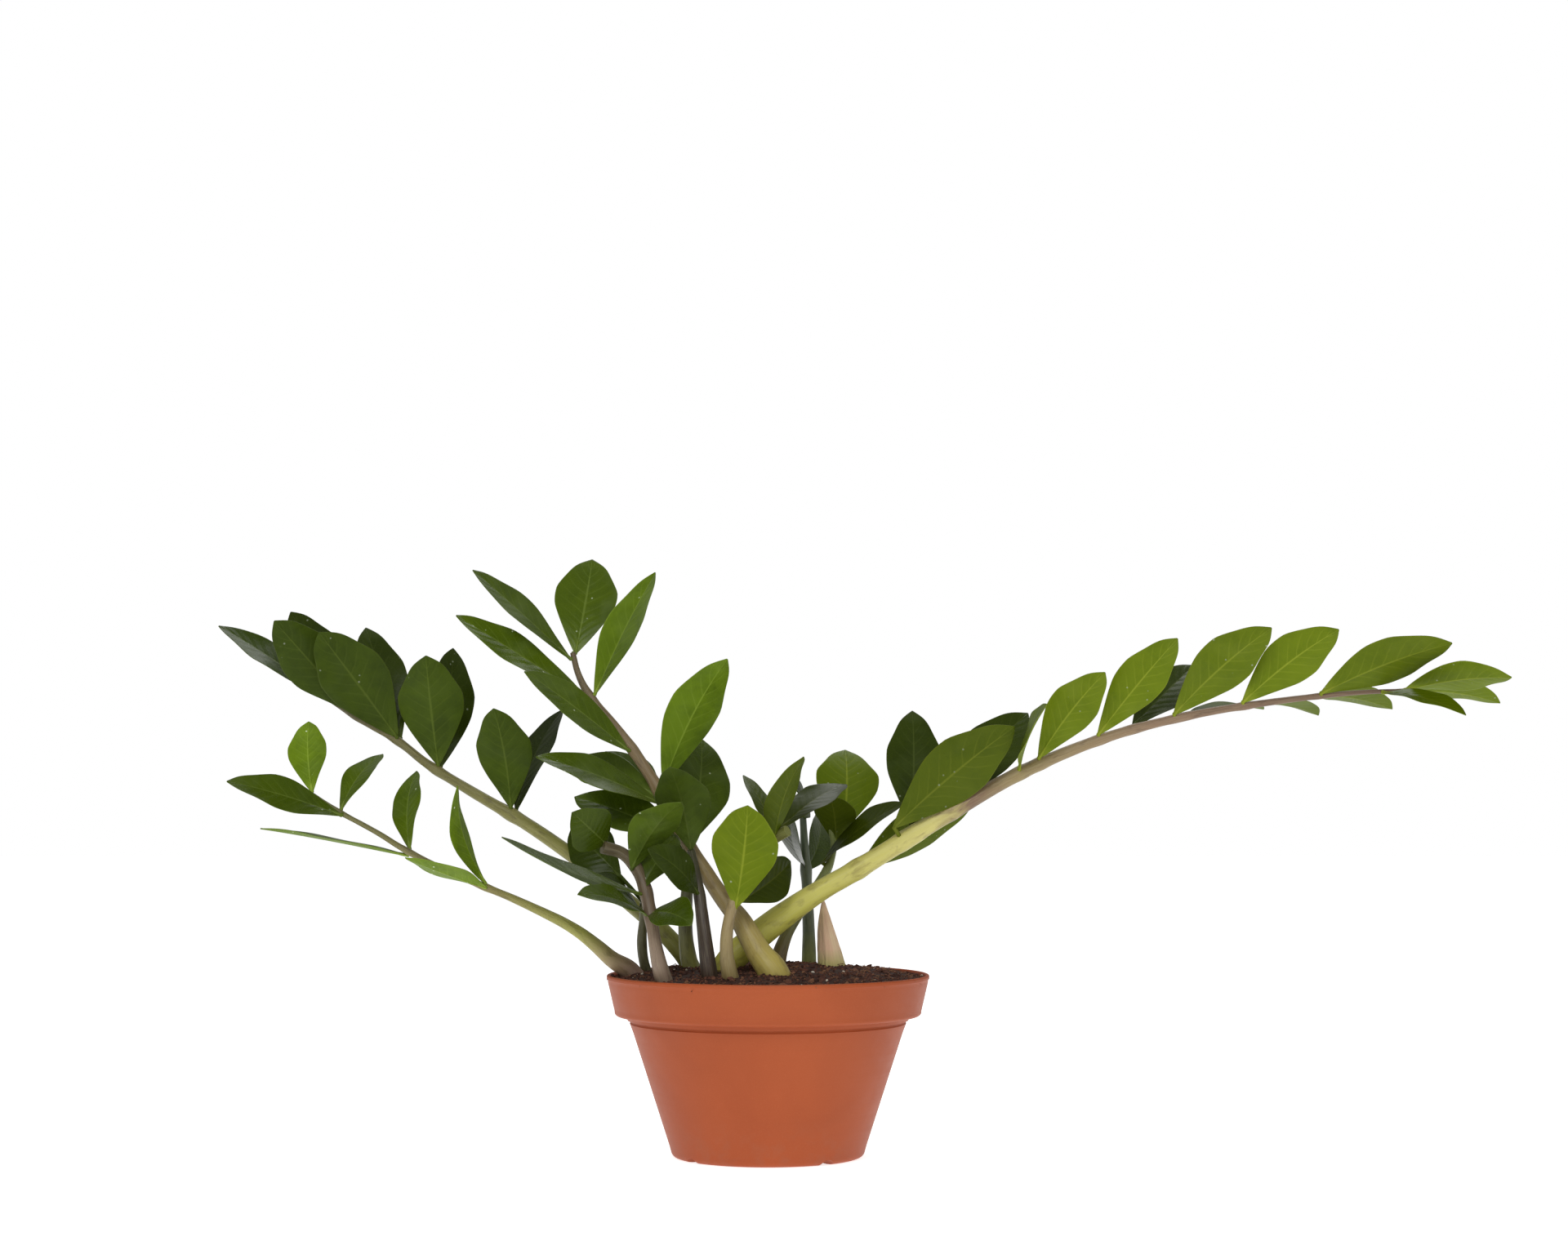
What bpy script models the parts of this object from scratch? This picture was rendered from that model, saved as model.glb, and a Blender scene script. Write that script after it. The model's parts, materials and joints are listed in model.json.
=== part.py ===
# A potted ZZ plant: a thin plastic pot, its soil, the tuber in the soil, four long
# fronds whose leaflets are pieces of their own, seven short fronds and one sheath.
# X runs to the right, Y away from the viewer and Z up. The origin is the centre of
# the pot's flat underside. The tables are in millimetres.

import math

import bmesh
import bpy
from mathutils import Matrix, Vector

MM = 0.001

# Pot: outer radii and heights of its stepped wall, and the wall's thickness.
RIM_RADIUS = 105.0
RIM_HEIGHT = 118.0
LIP_WIDTH = 2.4
BAND_FOOT_RADIUS = 99.8
BAND_FOOT_HEIGHT = 91.5
BAND_CORNER = 3.0
LEDGE_RADIUS = 90.0
LEDGE_HEIGHT = 87.7
FOOT_RADIUS = 63.0
FOOT_HEIGHT = 4.5
BASE_RADIUS = 57.0
WALL = 1.9
FLOOR = 2.2
POT_STEPS = 48
SOIL_STEPS = 24

# Drain: four channels across the bottom corner, open to the inside of the pot.
DRAIN_ANGLES = (-52.0, 38.0, 128.0, 218.0)
DRAIN_RADIUS = 6.0
DRAIN_AXIS_HEIGHT = -2.2
DRAIN_START = 46.0
DRAIN_END = 70.0

# Soil: it fills the pot to just under the rim and rises toward the middle.
SOIL_EDGE_HEIGHT = 116.6
SOIL_SHOULDER_RADIUS = 70.0
SOIL_SHOULDER_HEIGHT = 120.5
SOIL_TOP_HEIGHT = 124.5

# Tuber: one rounded mass that all the fronds grow from.
TUBER_CENTRE = (-14.0, -8.0, 56.0)
TUBER_HALF = (56.0, 44.0, 22.0)
TUBER_LUMP = 0.035
SOCKET_DEPTH = 6.0

# Clearance between pieces that touch, and the thickness of a blade.
GAP = 0.3
POCKET_GAP = 0.6
BLADE = 0.8

# A stem: the spacing of its rings, and how it thins and bends toward its foot in the
# tuber. A leaflet's foot slides out in small steps until it stands clear of the stem.
STEM_STEP = 13.0
SHEATH_STEP = 9.0
CURVE_READS = 24
FOOT_SHRINK = 0.8
BEND_SHRINK = 0.9
BEND_SHARE = 0.3
BEND_DROP = 0.55
SLIDE_STEP = 0.15
SLIDE_TRIES = 60
HOLE_RISE = 22.0

# A blade's stations from foot to tip: share of the length, and of the half width.
BLADE_STATIONS = (
    (0.0, 0.0), (0.14, 0.42), (0.32, 0.82), (0.54, 1.0), (0.75, 0.84), (0.91, 0.45), (1.0, 0.0),
)
FOOT_HALF = 0.9
TIP_HALF = 0.5
FOLD = 0.16

TERRACOTTA = (0.48, 0.115, 0.047, 1.0)
PEAT = (0.035, 0.018, 0.013, 1.0)
TUBER_SKIN = (0.30, 0.21, 0.12, 1.0)
STEM_GREEN = (0.33, 0.31, 0.08, 1.0)
STEM_BROWN = (0.12, 0.085, 0.05, 1.0)
SHEATH_TAN = (0.47, 0.33, 0.22, 1.0)
LIME = (0.20, 0.27, 0.02, 1.0)
LEAF_GREEN = (0.065, 0.125, 0.018, 1.0)
DEEP_GREEN = (0.030, 0.065, 0.022, 1.0)

# Ways that a blade's upper side can look.
FRONT = (0, -1, 0.15)
FRONT_UP = (0, -0.75, 0.65)
UP_FRONT = (0, -0.35, 0.95)
BACK = (0, 1, 0.25)
BACK_UP = (0, 0.8, 0.6)
UP_BACK = (0, 0.35, 0.95)
UP = (0, 0, 1)

# Each frond: its underground end on the tuber as (x, y), then its route above the
# soil as points (x, y, z, radius). Each leaflet: the x of the place on the route
# where it grows, its reach from there to the tip (x, y, z), its width, the way its
# upper side looks, and how far its middle rises above the line to the tip.
RIGHT_FROND = {
    "foot": (-14, -16),
    "route": (
        (-29, -26, 122, 9.0), (-20, -25, 132, 9.2), (2, -24, 151, 8.8), (32, -25, 172, 7.0),
        (58, -26, 187, 6.4), (110, -28, 219, 5.6), (163, -29, 249, 4.4), (216, -30, 271, 3.4),
        (268, -31, 285, 2.7), (321, -31, 294, 2.2), (373, -31, 300, 1.6), (412, -31, 302, 1.1),
    ),
    "leaflets": (
        (58, (74, 24, 41), 34, BACK_UP, 3), (87, (70, -28, 74), 40, BACK, 5),
        (95, (0, 48, 80), 36, FRONT, 4), (118, (53, 46, 65), 38, FRONT_UP, 5),
        (163, (13, -52, 43), 28, (-1, 0, 0.3), 3), (176, (38, -34, 58), 31, BACK, 4),
        (214, (46, -34, 64), 31, BACK, 5), (236, (46, 52, 42), 32, FRONT_UP, 4),
        (262, (57, -36, 57), 34, BACK, 5), (306, (56, -34, 48), 33, BACK, 5),
        (356, (77, -36, 34), 36, BACK_UP, 5), (410, (60, -40, 8), 32, (0.1, 0.5, 0.85), 3),
        (414, (66, 26, -7), 28, (0, 0.35, 0.93), 3), (270, (58, 56, 5), 30, UP, 4),
        (308, (56, 56, -4), 30, UP, 4), (354, (58, 52, -6), 30, UP_BACK, 4),
        (396, (44, -44, -14), 27, UP_FRONT, 3),
    ),
}
UPPER_LEFT_FROND = {
    "foot": (-36, 12),
    "route": (
        (-51, 22, 122, 6.4), (-56, 22, 129, 6.2), (-70, 22, 145, 5.8), (-98, 22, 169, 5.2),
        (-119, 20, 187, 4.9), (-157, 16, 214, 4.3), (-194, 14, 236, 3.5), (-223, 12, 254, 2.9),
        (-245, 10, 271, 2.5), (-268, 8, 284, 2.1), (-292, 6, 300, 1.5),
    ),
    "leaflets": (
        (-171, (-6, -40, 68), 36, BACK, 4), (-168, (29, 44, 71), 30, (-0.6, -0.8, 0.2), 4),
        (-219, (-3, -30, 74), 43, BACK, 5), (-217, (6, 32, 82), 34, (0.5, -0.9, 0), 4),
        (-245, (-44, -44, 69), 44, BACK, 5), (-243, (-26, 34, 77), 34, (0.3, -1, 0.2), 4),
        (-272, (-47, -34, 61), 38, BACK, 4), (-270, (-49, 30, 71), 34, FRONT, 4),
        (-292, (-70, 2, 45), 30, (0, -0.45, 0.9), 1),
    ),
}
LOWER_LEFT_FROND = {
    "foot": (-60, -8),
    "route": (
        (-88, -4, 118, 6.6), (-97, -5, 124, 5.8), (-107, -6, 133, 4.9), (-128, -8, 149, 3.7),
        (-160, -10, 165, 2.7), (-181, -12, 174, 2.3), (-207, -14, 185, 2.0), (-233, -16, 198, 1.9),
        (-254, -18, 211, 1.7), (-276, -19, 223, 1.5), (-296, -20, 236, 1.1),
    ),
    "leaflets": (
        (-183, (-46, -48, 21), 27, (0.3, 0.55, 0.8), -1), (-184, (-16, -34, 65), 24, (-1, 0.15, 0.2), 5),
        (-232, (-99, 16, 17), 24, UP, 0), (-233, (0, 42, 52), 23, (-0.6, -0.9, 0.3), 5),
        (-275, (-67, -40, 22), 28, FRONT_UP, 1), (-296, (3, -32, 46), 25, (-0.3, 1, 0.2), 3),
        (-277, (23, 38, 37), 22, (-0.5, -0.8, 0.5), 5),
    ),
}
CENTRE_FROND = {
    "foot": (8, -30),
    "route": (
        (6, -55, 118, 10.5), (-1, -53, 128, 8.8), (-8, -50, 139, 7.8), (-18, -44, 156, 6.6),
        (-29, -38, 169, 5.6), (-41, -34, 187, 4.9), (-50, -31, 201, 4.5), (-68, -24, 234, 4.0),
        (-87, -19, 263, 3.5), (-101, -17, 281, 3.1), (-116, -15, 299, 2.6), (-124, -14, 315, 2.0),
        (-127, -13, 327, 1.5),
    ),
    "leaflets": (
        (-127, (10, 38, 65), 41, FRONT, 4), (-126, (-64, -22, 56), 30, (0.2, -0.5, 0.85), 1),
        (-116, (-84, -26, 50), 31, (0.2, -0.6, 0.8), 1), (-115, (42, -24, 80), 31, (-0.7, 0.7, 0), 4),
        (-88, (-66, -34, 50), 32, (0.3, -0.7, 0.7), 1), (-71, (45, -20, 83), 35, (-0.3, 0.9, 0.3), 9),
        (-66, (-80, -34, 30), 32, (0, -0.6, 0.8), 3), (-70, (-66, 40, 20), 30, FRONT_UP, 4),
        (-55, (-72, 38, 23), 34, FRONT_UP, 4), (-66, (-42, 56, 32), 28, FRONT_UP, 3),
    ),
}
LONG_FRONDS = {
    "right": RIGHT_FROND,
    "upper_left": UPPER_LEFT_FROND,
    "lower_left": LOWER_LEFT_FROND,
    "centre": CENTRE_FROND,
}

# The short fronds have the same values, but a leaflet's place is the z of the route.
SHORT_FRONDS = {
    "front_left": {
        "foot": (-48, -28),
        "route": (
            (-66, -60, 117, 5.4), (-70, -62, 138, 4.3), (-74, -60, 158, 3.7), (-79, -58, 175, 3.3),
            (-86, -56, 188, 2.9), (-94, -54, 197, 2.4), (-103, -52, 204, 1.8),
        ),
        "leaflets": (
            (188, (32, -32, 44), 32, (-0.4, 0.9, 0.4), 5), (176, (20, 22, 34), 28, (-0.4, -0.9, 0.2), 4),
            (160, (28, -34, -6), 28, FRONT_UP, 4), (157, (-43, -38, 18), 28, (0, -0.5, 0.85), 4),
            (172, (-88, -26, 37), 27, (0, -0.35, 0.95), -5), (204, (-20, -20, 20), 32, FRONT, 3),
        ),
    },
    "thin_left": {
        "foot": (-48, 16),
        "route": (
            (-81, 10, 118, 3.2), (-81, 8, 140, 2.9), (-83, 4, 156, 2.6), (-88, 0, 170, 2.3),
            (-97, -6, 183, 1.8),
        ),
        "leaflets": (
            (160, (-30, -40, 19), 28, FRONT_UP, 4), (182, (-34, 22, 30), 32, FRONT, 4),
        ),
    },
    "middle_left": {
        "foot": (-34, -10),
        "route": (
            (-51, 2, 120, 5.6), (-53, 0, 140, 4.8), (-53, -4, 162, 4.2), (-52, -8, 186, 3.4),
            (-52, -12, 203, 2.6),
        ),
        "leaflets": (
            (203, (8, 42, 70), 42, (0.5, -0.9, 0.2), 7), (180, (-32, 40, 22), 30, FRONT_UP, 4),
        ),
    },
    "dark_front": {
        "foot": (-30, -36),
        "route": (
            (-37, -57, 118, 5.2), (-38, -55, 135, 4.6), (-41, -52, 153, 4.1), (-44, -50, 171, 3.5),
            (-47, -48, 187, 2.9), (-49, -46, 200, 2.2),
        ),
        "leaflets": (
            (200, (-12, -28, 54), 36, (0.2, 0.9, 0.4), 5), (172, (-30, -30, 30), 28, (0.4, -0.8, 0.5), 4),
        ),
    },
    "bright_front": {
        "foot": (-8, -38),
        "route": (
            (-22, -67, 117, 5.0), (-27, -67, 139, 3.9), (-24, -67, 157, 3.3), (-20, -67, 165, 3.1),
            (-12, -66, 174, 2.8), (-4, -62, 187, 2.4), (3, -58, 203, 2.0), (10, -54, 216, 1.6),
        ),
        "leaflets": (
            (164, (8, -34, 65), 42, (0.1, 0.9, 0.4), 5), (168, (31, 40, 24), 28, (0.6, -0.8, 0.1), 4),
            (204, (18, -40, 56), 29, (-0.7, 0.7, 0.2), 4), (214, (42, 38, 28), 26, (-0.3, -0.7, 0.7), 4),
            (207, (-21, 34, 40), 15, (0.5, -0.6, 0.6), 3),
        ),
    },
    "grey_back": {
        "foot": (26, 22),
        "route": (
            (27, 45, 120, 4.8), (27, 45, 143, 4.0), (26, 44, 165, 3.6), (25, 42, 187, 3.2),
            (24, 40, 209, 2.6), (23, 38, 220, 2.0),
        ),
        "leaflets": (
            (219, (-4, -40, 21), 24, (1, 0.2, 0.2), 3), (186, (-10, -42, 36), 28, (-0.7, -0.7, 0), 4),
            (184, (10, 42, 38), 28, (0.7, -0.7, 0), 4),
        ),
    },
    "pale_back": {
        "foot": (10, 4),
        "route": (
            (4, -2, 122, 5.2), (9, -1, 138, 4.2), (18, 2, 151, 3.4), (28, 6, 167, 2.8),
            (33, 7, 181, 2.6), (36, 8, 191, 2.5), (43, 10, 201, 2.2), (50, 12, 212, 1.7),
        ),
        "leaflets": (
            (212, (2, 40, 54), 42, (0.1, -1, 0.3), 4), (203, (-4, -30, 32), 28, (0.2, 0.9, 0.3), 3),
            (190, (52, -38, 40), 28, (-0.4, -0.45, 0.8), 4),
        ),
    },
}
SHEATH_ROUTE = (
    (41, 8, 112, 8.4), (41, 8, 120, 9.2), (39, 7, 135, 7.4), (37, 6, 150, 4.8), (36, 6, 165, 1.0),
)


def clear_scene():
    for obj in list(bpy.data.objects):
        bpy.data.objects.remove(obj, do_unlink=True)


def new_collection(name):
    collection = bpy.data.collections.new(name)
    bpy.context.scene.collection.children.link(collection)
    return collection


def principled(name, color, roughness):
    material = bpy.data.materials.new(name)
    material.use_nodes = True
    shader = material.node_tree.nodes["Principled BSDF"]
    shader.inputs["Base Color"].default_value = color
    shader.inputs["Roughness"].default_value = roughness
    shader.inputs["Metallic"].default_value = 0.0
    return material


def add_object(name, mesh, material, collection):
    obj = bpy.data.objects.new(name, mesh)
    if material:
        obj.data.materials.append(material)
    collection.objects.link(obj)
    return obj


def hide_guide(obj):
    obj.hide_render = True
    obj.display_type = "WIRE"


def arc(centre, radius, start, end, count):
    points = []
    for i in range(count + 1):
        angle = math.radians(start + (end - start) * i / count)
        points.append((centre[0] + radius * math.cos(angle), centre[1] + radius * math.sin(angle)))
    return points


def turned(name, profile, steps, material, collection):
    # The profile starts and ends on the axis, and runs down its outer side.
    mesh = bpy.data.meshes.new(name)
    edges = [(i, i + 1) for i in range(len(profile) - 1)]
    mesh.from_pydata([(r * MM, 0.0, z * MM) for r, z in profile], edges, [])
    obj = add_object(name, mesh, material, collection)
    screw = obj.modifiers.new("turn", "SCREW")
    screw.steps = steps
    screw.render_steps = steps
    screw.use_merge_vertices = True
    screw.merge_threshold = 0.00001
    screw.use_smooth_shade = True
    return obj


def subtract(obj, cutter):
    cut = obj.modifiers.new("cut", "BOOLEAN")
    cut.operation = "DIFFERENCE"
    cut.solver = "EXACT"
    cut.object = cutter


def wall_radius(height):
    share = (height - FOOT_HEIGHT) / (LEDGE_HEIGHT - FOOT_HEIGHT)
    return FOOT_RADIUS + share * (LEDGE_RADIUS - FOOT_RADIUS)


def inner_profile(inset):
    # The inner side of the pot's wall, from the floor up to the lip.
    floor = FLOOR + inset
    step = BAND_FOOT_HEIGHT + WALL + inset
    return [
        (BASE_RADIUS - inset, floor),
        (wall_radius(FOOT_HEIGHT + 3.0) - WALL - inset, floor + 4.0),
        (wall_radius(LEDGE_HEIGHT) - WALL - inset, LEDGE_HEIGHT - 1.0),
        (LEDGE_RADIUS - WALL + 0.5 - inset, step - 1.0),
        (BAND_FOOT_RADIUS - WALL - 1.5 - inset, step),
        (BAND_FOOT_RADIUS - WALL - inset, step + 2.0),
    ]


def build_pot(collection, cutters):
    lip = LIP_WIDTH / 2
    profile = [(0.0, FLOOR)] + inner_profile(0.0)
    profile += [(RIM_RADIUS - LIP_WIDTH, RIM_HEIGHT - lip)]
    profile += arc((RIM_RADIUS - lip, RIM_HEIGHT - lip), lip, 150, 10, 4)
    corner = (BAND_FOOT_RADIUS - BAND_CORNER, BAND_FOOT_HEIGHT + BAND_CORNER - 2.0)
    profile += arc(corner, BAND_CORNER, 0, -75, 4)
    profile += [(LEDGE_RADIUS + 0.6, LEDGE_HEIGHT + 0.2), (LEDGE_RADIUS, LEDGE_HEIGHT - 0.6)]
    profile += [(FOOT_RADIUS, FOOT_HEIGHT)]
    profile += [(FOOT_RADIUS - 1.6, FOOT_HEIGHT / 3), (FOOT_RADIUS - 3.8, 0.4)]
    profile += [(BASE_RADIUS, 0.0), (0.0, 0.0)]
    terracotta = principled("terracotta plastic", TERRACOTTA, 0.42)
    pot = turned("pot", profile, POT_STEPS, terracotta, collection)
    for i, angle in enumerate(DRAIN_ANGLES):
        mesh = bpy.data.meshes.new("drain")
        tool = bmesh.new()
        bmesh.ops.create_cone(
            tool, cap_ends=True, segments=20, radius1=DRAIN_RADIUS * MM, radius2=DRAIN_RADIUS * MM,
            depth=(DRAIN_END - DRAIN_START) * MM,
        )
        tool.to_mesh(mesh)
        tool.free()
        cutter = add_object(f"drain_{i + 1}", mesh, None, cutters)
        turn = Matrix.Rotation(math.radians(angle - 90), 4, "Z")
        middle = Matrix.Translation(((DRAIN_START + DRAIN_END) / 2 * MM, 0, DRAIN_AXIS_HEIGHT * MM))
        cutter.matrix_world = turn @ middle @ Matrix.Rotation(math.radians(90), 4, "Y")
        hide_guide(cutter)
        subtract(pot, cutter)


def soil_profile():
    profile = [(0.0, SOIL_TOP_HEIGHT), (SOIL_SHOULDER_RADIUS / 2, SOIL_TOP_HEIGHT - 1.0)]
    profile += [(SOIL_SHOULDER_RADIUS, SOIL_SHOULDER_HEIGHT)]
    profile += [(RIM_RADIUS - LIP_WIDTH - GAP - 0.8, SOIL_EDGE_HEIGHT)]
    inner = inner_profile(GAP)
    inner.reverse()
    return profile + inner + [(0.0, FLOOR + GAP)]


def smooth_route(points, step):
    # A Catmull-Rom curve through the points, read about every step.
    first = [a * 2 - b for a, b in zip(points[0], points[1])]
    last = [a * 2 - b for a, b in zip(points[-1], points[-2])]
    padded = [first] + list(points) + [last]
    dense = []
    for i in range(1, len(padded) - 2):
        p0, p1, p2, p3 = padded[i - 1:i + 3]
        for k in range(CURVE_READS):
            t = k / CURVE_READS
            dense.append([
                0.5 * (2 * b + (c - a) * t + (2 * a - 5 * b + 4 * c - d) * t ** 2
                       + (3 * b - a - 3 * c + d) * t ** 3)
                for a, b, c, d in zip(p0, p1, p2, p3)
            ])
    dense.append(list(points[-1]))
    lengths = [0.0]
    for a, b in zip(dense, dense[1:]):
        lengths.append(lengths[-1] + math.dist(a[:3], b[:3]))
    count = max(3, round(lengths[-1] / step))
    route = []
    for i in range(count + 1):
        wanted = lengths[-1] * i / count
        k = next(n for n in range(1, len(lengths)) if lengths[n] >= wanted - 1e-9)
        t = (wanted - lengths[k - 1]) / (lengths[k] - lengths[k - 1])
        route.append([a + (b - a) * t for a, b in zip(dense[k - 1], dense[k])])
    return route


def tube(name, route, extra, material, collection):
    # A round rod along the route, whose points hold their radius last.
    curve = bpy.data.curves.new(name, "CURVE")
    curve.dimensions = "3D"
    curve.bevel_depth = MM
    curve.bevel_resolution = 2
    curve.use_fill_caps = True
    spline = curve.splines.new("POLY")
    spline.points.add(len(route) - 1)
    for point, (x, y, z, radius) in zip(spline.points, route):
        point.co = (x * MM, y * MM, z * MM, 1.0)
        point.radius = radius + extra
    guide = bpy.data.objects.new(name + "_curve", curve)
    collection.objects.link(guide)
    bpy.context.view_layer.update()
    evaluated = guide.evaluated_get(bpy.context.evaluated_depsgraph_get())
    mesh = bpy.data.meshes.new_from_object(evaluated)
    shape = bmesh.new()
    shape.from_mesh(mesh)
    bmesh.ops.remove_doubles(shape, verts=shape.verts, dist=0.00001)
    shape.to_mesh(mesh)
    shape.free()
    mesh.name = name
    mesh.materials.clear()
    obj = add_object(name, mesh, material, collection)
    obj.matrix_world = guide.matrix_world
    bpy.data.objects.remove(guide)
    mesh.shade_smooth()
    mesh.set_sharp_from_angle(angle=math.radians(50))
    return obj


def tuber_top(x, y):
    across = ((x - TUBER_CENTRE[0]) / TUBER_HALF[0]) ** 2 + ((y - TUBER_CENTRE[1]) / TUBER_HALF[1]) ** 2
    return TUBER_CENTRE[2] + TUBER_HALF[2] * math.sqrt(max(0.0, 1 - across))


def full_route(frond):
    # The stem goes on under the soil, down into a socket in the tuber.
    x, y = frond["foot"]
    top = frond["route"][0]
    bottom = tuber_top(x, y) - SOCKET_DEPTH
    foot = (x, y, bottom, top[3] * FOOT_SHRINK)
    bend = (
        x + (top[0] - x) * BEND_SHARE,
        y + (top[1] - y) * BEND_SHARE,
        top[2] + (bottom - top[2]) * BEND_DROP,
        top[3] * BEND_SHRINK,
    )
    return (foot, bend) + tuple(frond["route"])


def route_place(route, axis, value):
    # The point of the route where the given axis has this value, above the soil.
    best = None
    for a, b in zip(route, route[1:]):
        for k in range(CURVE_READS):
            t = k / CURVE_READS
            point = [p + (q - p) * t for p, q in zip(a, b)]
            if point[2] < RIM_HEIGHT:
                continue
            miss = abs(point[axis] - value)
            if best is None or miss < best[0]:
                best = (miss, point, Vector(b[:3]) - Vector(a[:3]))
    return Vector(best[1][:3]), best[1][3], best[2].normalized()


def blade_points(length, half_width, rise):
    # Rows from the foot to the tip, each with a left, a middle and a right point.
    rows = []
    for share, swell in BLADE_STATIONS:
        ends = FOOT_HALF * (1 - share) + TIP_HALF * share
        half = max(ends, swell * half_width)
        lift = rise * 4 * share * (1 - share)
        edge = lift + FOLD * (half - ends)
        x = length * share
        rows.append(((x, half, edge), (x, 0.0, lift), (x, -half, edge)))
    return rows


def stem_clearance(points, route):
    best = 1e9
    for point in points:
        for a, b in zip(route, route[1:]):
            start = Vector(a[:3])
            run = Vector(b[:3]) - start
            t = min(1.0, max(0.0, (point - start).dot(run) / run.length_squared))
            best = min(best, (point - start - run * t).length - (a[3] + (b[3] - a[3]) * t))
    return best


def blade_frame(foot, tip, facing):
    along = (tip - foot).normalized()
    normal = Vector(facing)
    normal = (normal - along * normal.dot(along)).normalized()
    side = normal.cross(along)
    return along, side, normal


def place_blade(route, axis, leaflet, clearance):
    # The foot stands clear of the stem's surface, or on its axis for a joined frond.
    place, reach, width, facing, rise = leaflet
    centre, radius, tangent = route_place(route, axis, place)
    reach = Vector(reach)
    tip = centre + reach
    out = (reach - tangent * reach.dot(tangent)).normalized()
    offset = 0.0 if clearance is None else radius + clearance
    for _ in range(SLIDE_TRIES):
        foot = centre + out * offset
        along, side, normal = blade_frame(foot, tip, facing)
        rows = blade_points((tip - foot).length, width / 2, rise)
        if clearance is None:
            break
        near = [foot + along * x + side * y + normal * (z + s) for row in rows[:4] for x, y, z in row
                for s in (-BLADE / 2, BLADE / 2)]
        if stem_clearance(near, route) >= clearance:
            break
        offset += SLIDE_STEP
    matrix = Matrix((
        (along.x, side.x, normal.x, foot.x * MM),
        (along.y, side.y, normal.y, foot.y * MM),
        (along.z, side.z, normal.z, foot.z * MM),
        (0, 0, 0, 1),
    ))
    return rows, matrix


def build_blade(name, rows, matrix, material, collection):
    # A flat grid takes the leaflet's outline, its fold and its bend, then thickness.
    mesh = bpy.data.meshes.new(name)
    grid = bmesh.new()
    last = len(rows) - 1
    bmesh.ops.create_grid(grid, x_segments=last, y_segments=2, size=0.5)
    for vert in grid.verts:
        row = round((vert.co.x + 0.5) * last)
        column = round((0.5 - vert.co.y) * 2)
        vert.co = Vector(rows[row][column]) * MM
    grid.to_mesh(mesh)
    grid.free()
    obj = add_object(name, mesh, material, collection)
    obj.matrix_world = matrix
    solid = obj.modifiers.new("thickness", "SOLIDIFY")
    solid.thickness = BLADE * MM
    solid.offset = 0.0
    mesh.shade_smooth()
    return obj


def build_long_frond(name, frond, stem_material, leaf_materials, collection):
    route = smooth_route(full_route(frond), STEM_STEP)
    tube(f"{name}_stem", route, 0.0, stem_material, collection)
    for i, leaflet in enumerate(frond["leaflets"]):
        rows, matrix = place_blade(route, 0, leaflet, GAP)
        shade = leaf_materials[1 if leaflet[1][1] > 0 else 0]
        build_blade(f"{name}_leaflet_{i + 1:02d}", rows, matrix, shade, collection)
    return route


def build_short_frond(name, frond, material, collection, cutters):
    route = smooth_route(full_route(frond), STEM_STEP)
    stem = tube(f"{name}_frond", route, 0.0, material, collection)
    for i, leaflet in enumerate(frond["leaflets"]):
        rows, matrix = place_blade(route, 2, leaflet, None)
        blade = build_blade(f"{name}_blade_{i + 1}", rows, matrix, None, cutters)
        hide_guide(blade)
        join = stem.modifiers.new("join", "BOOLEAN")
        join.operation = "UNION"
        join.solver = "EXACT"
        join.object = blade
    return route


def build_tuber(collection):
    mesh = bpy.data.meshes.new("tuber")
    ball = bmesh.new()
    bmesh.ops.create_uvsphere(ball, u_segments=20, v_segments=10, radius=1.0)
    for vert in ball.verts:
        lump = 1 + TUBER_LUMP * math.sin(7 * vert.co.x + 1) * math.cos(5 * vert.co.y)
        place = [c + h * v * lump for c, h, v in zip(TUBER_CENTRE, TUBER_HALF, vert.co)]
        vert.co = Vector(place) * MM
    ball.to_mesh(mesh)
    ball.free()
    mesh.shade_smooth()
    return add_object("tuber", mesh, principled("tuber skin", TUBER_SKIN, 0.8), collection)


def cut_hole(name, route, soil, tuber, cutters):
    # The cutter follows the stem from the tuber to just above the soil.
    lower = [p for p in route if p[2] < SOIL_TOP_HEIGHT + HOLE_RISE]
    cutter = tube(f"{name}_hole", lower, GAP, None, cutters)
    hide_guide(cutter)
    subtract(soil, cutter)
    if tuber:
        subtract(tuber, cutter)


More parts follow.
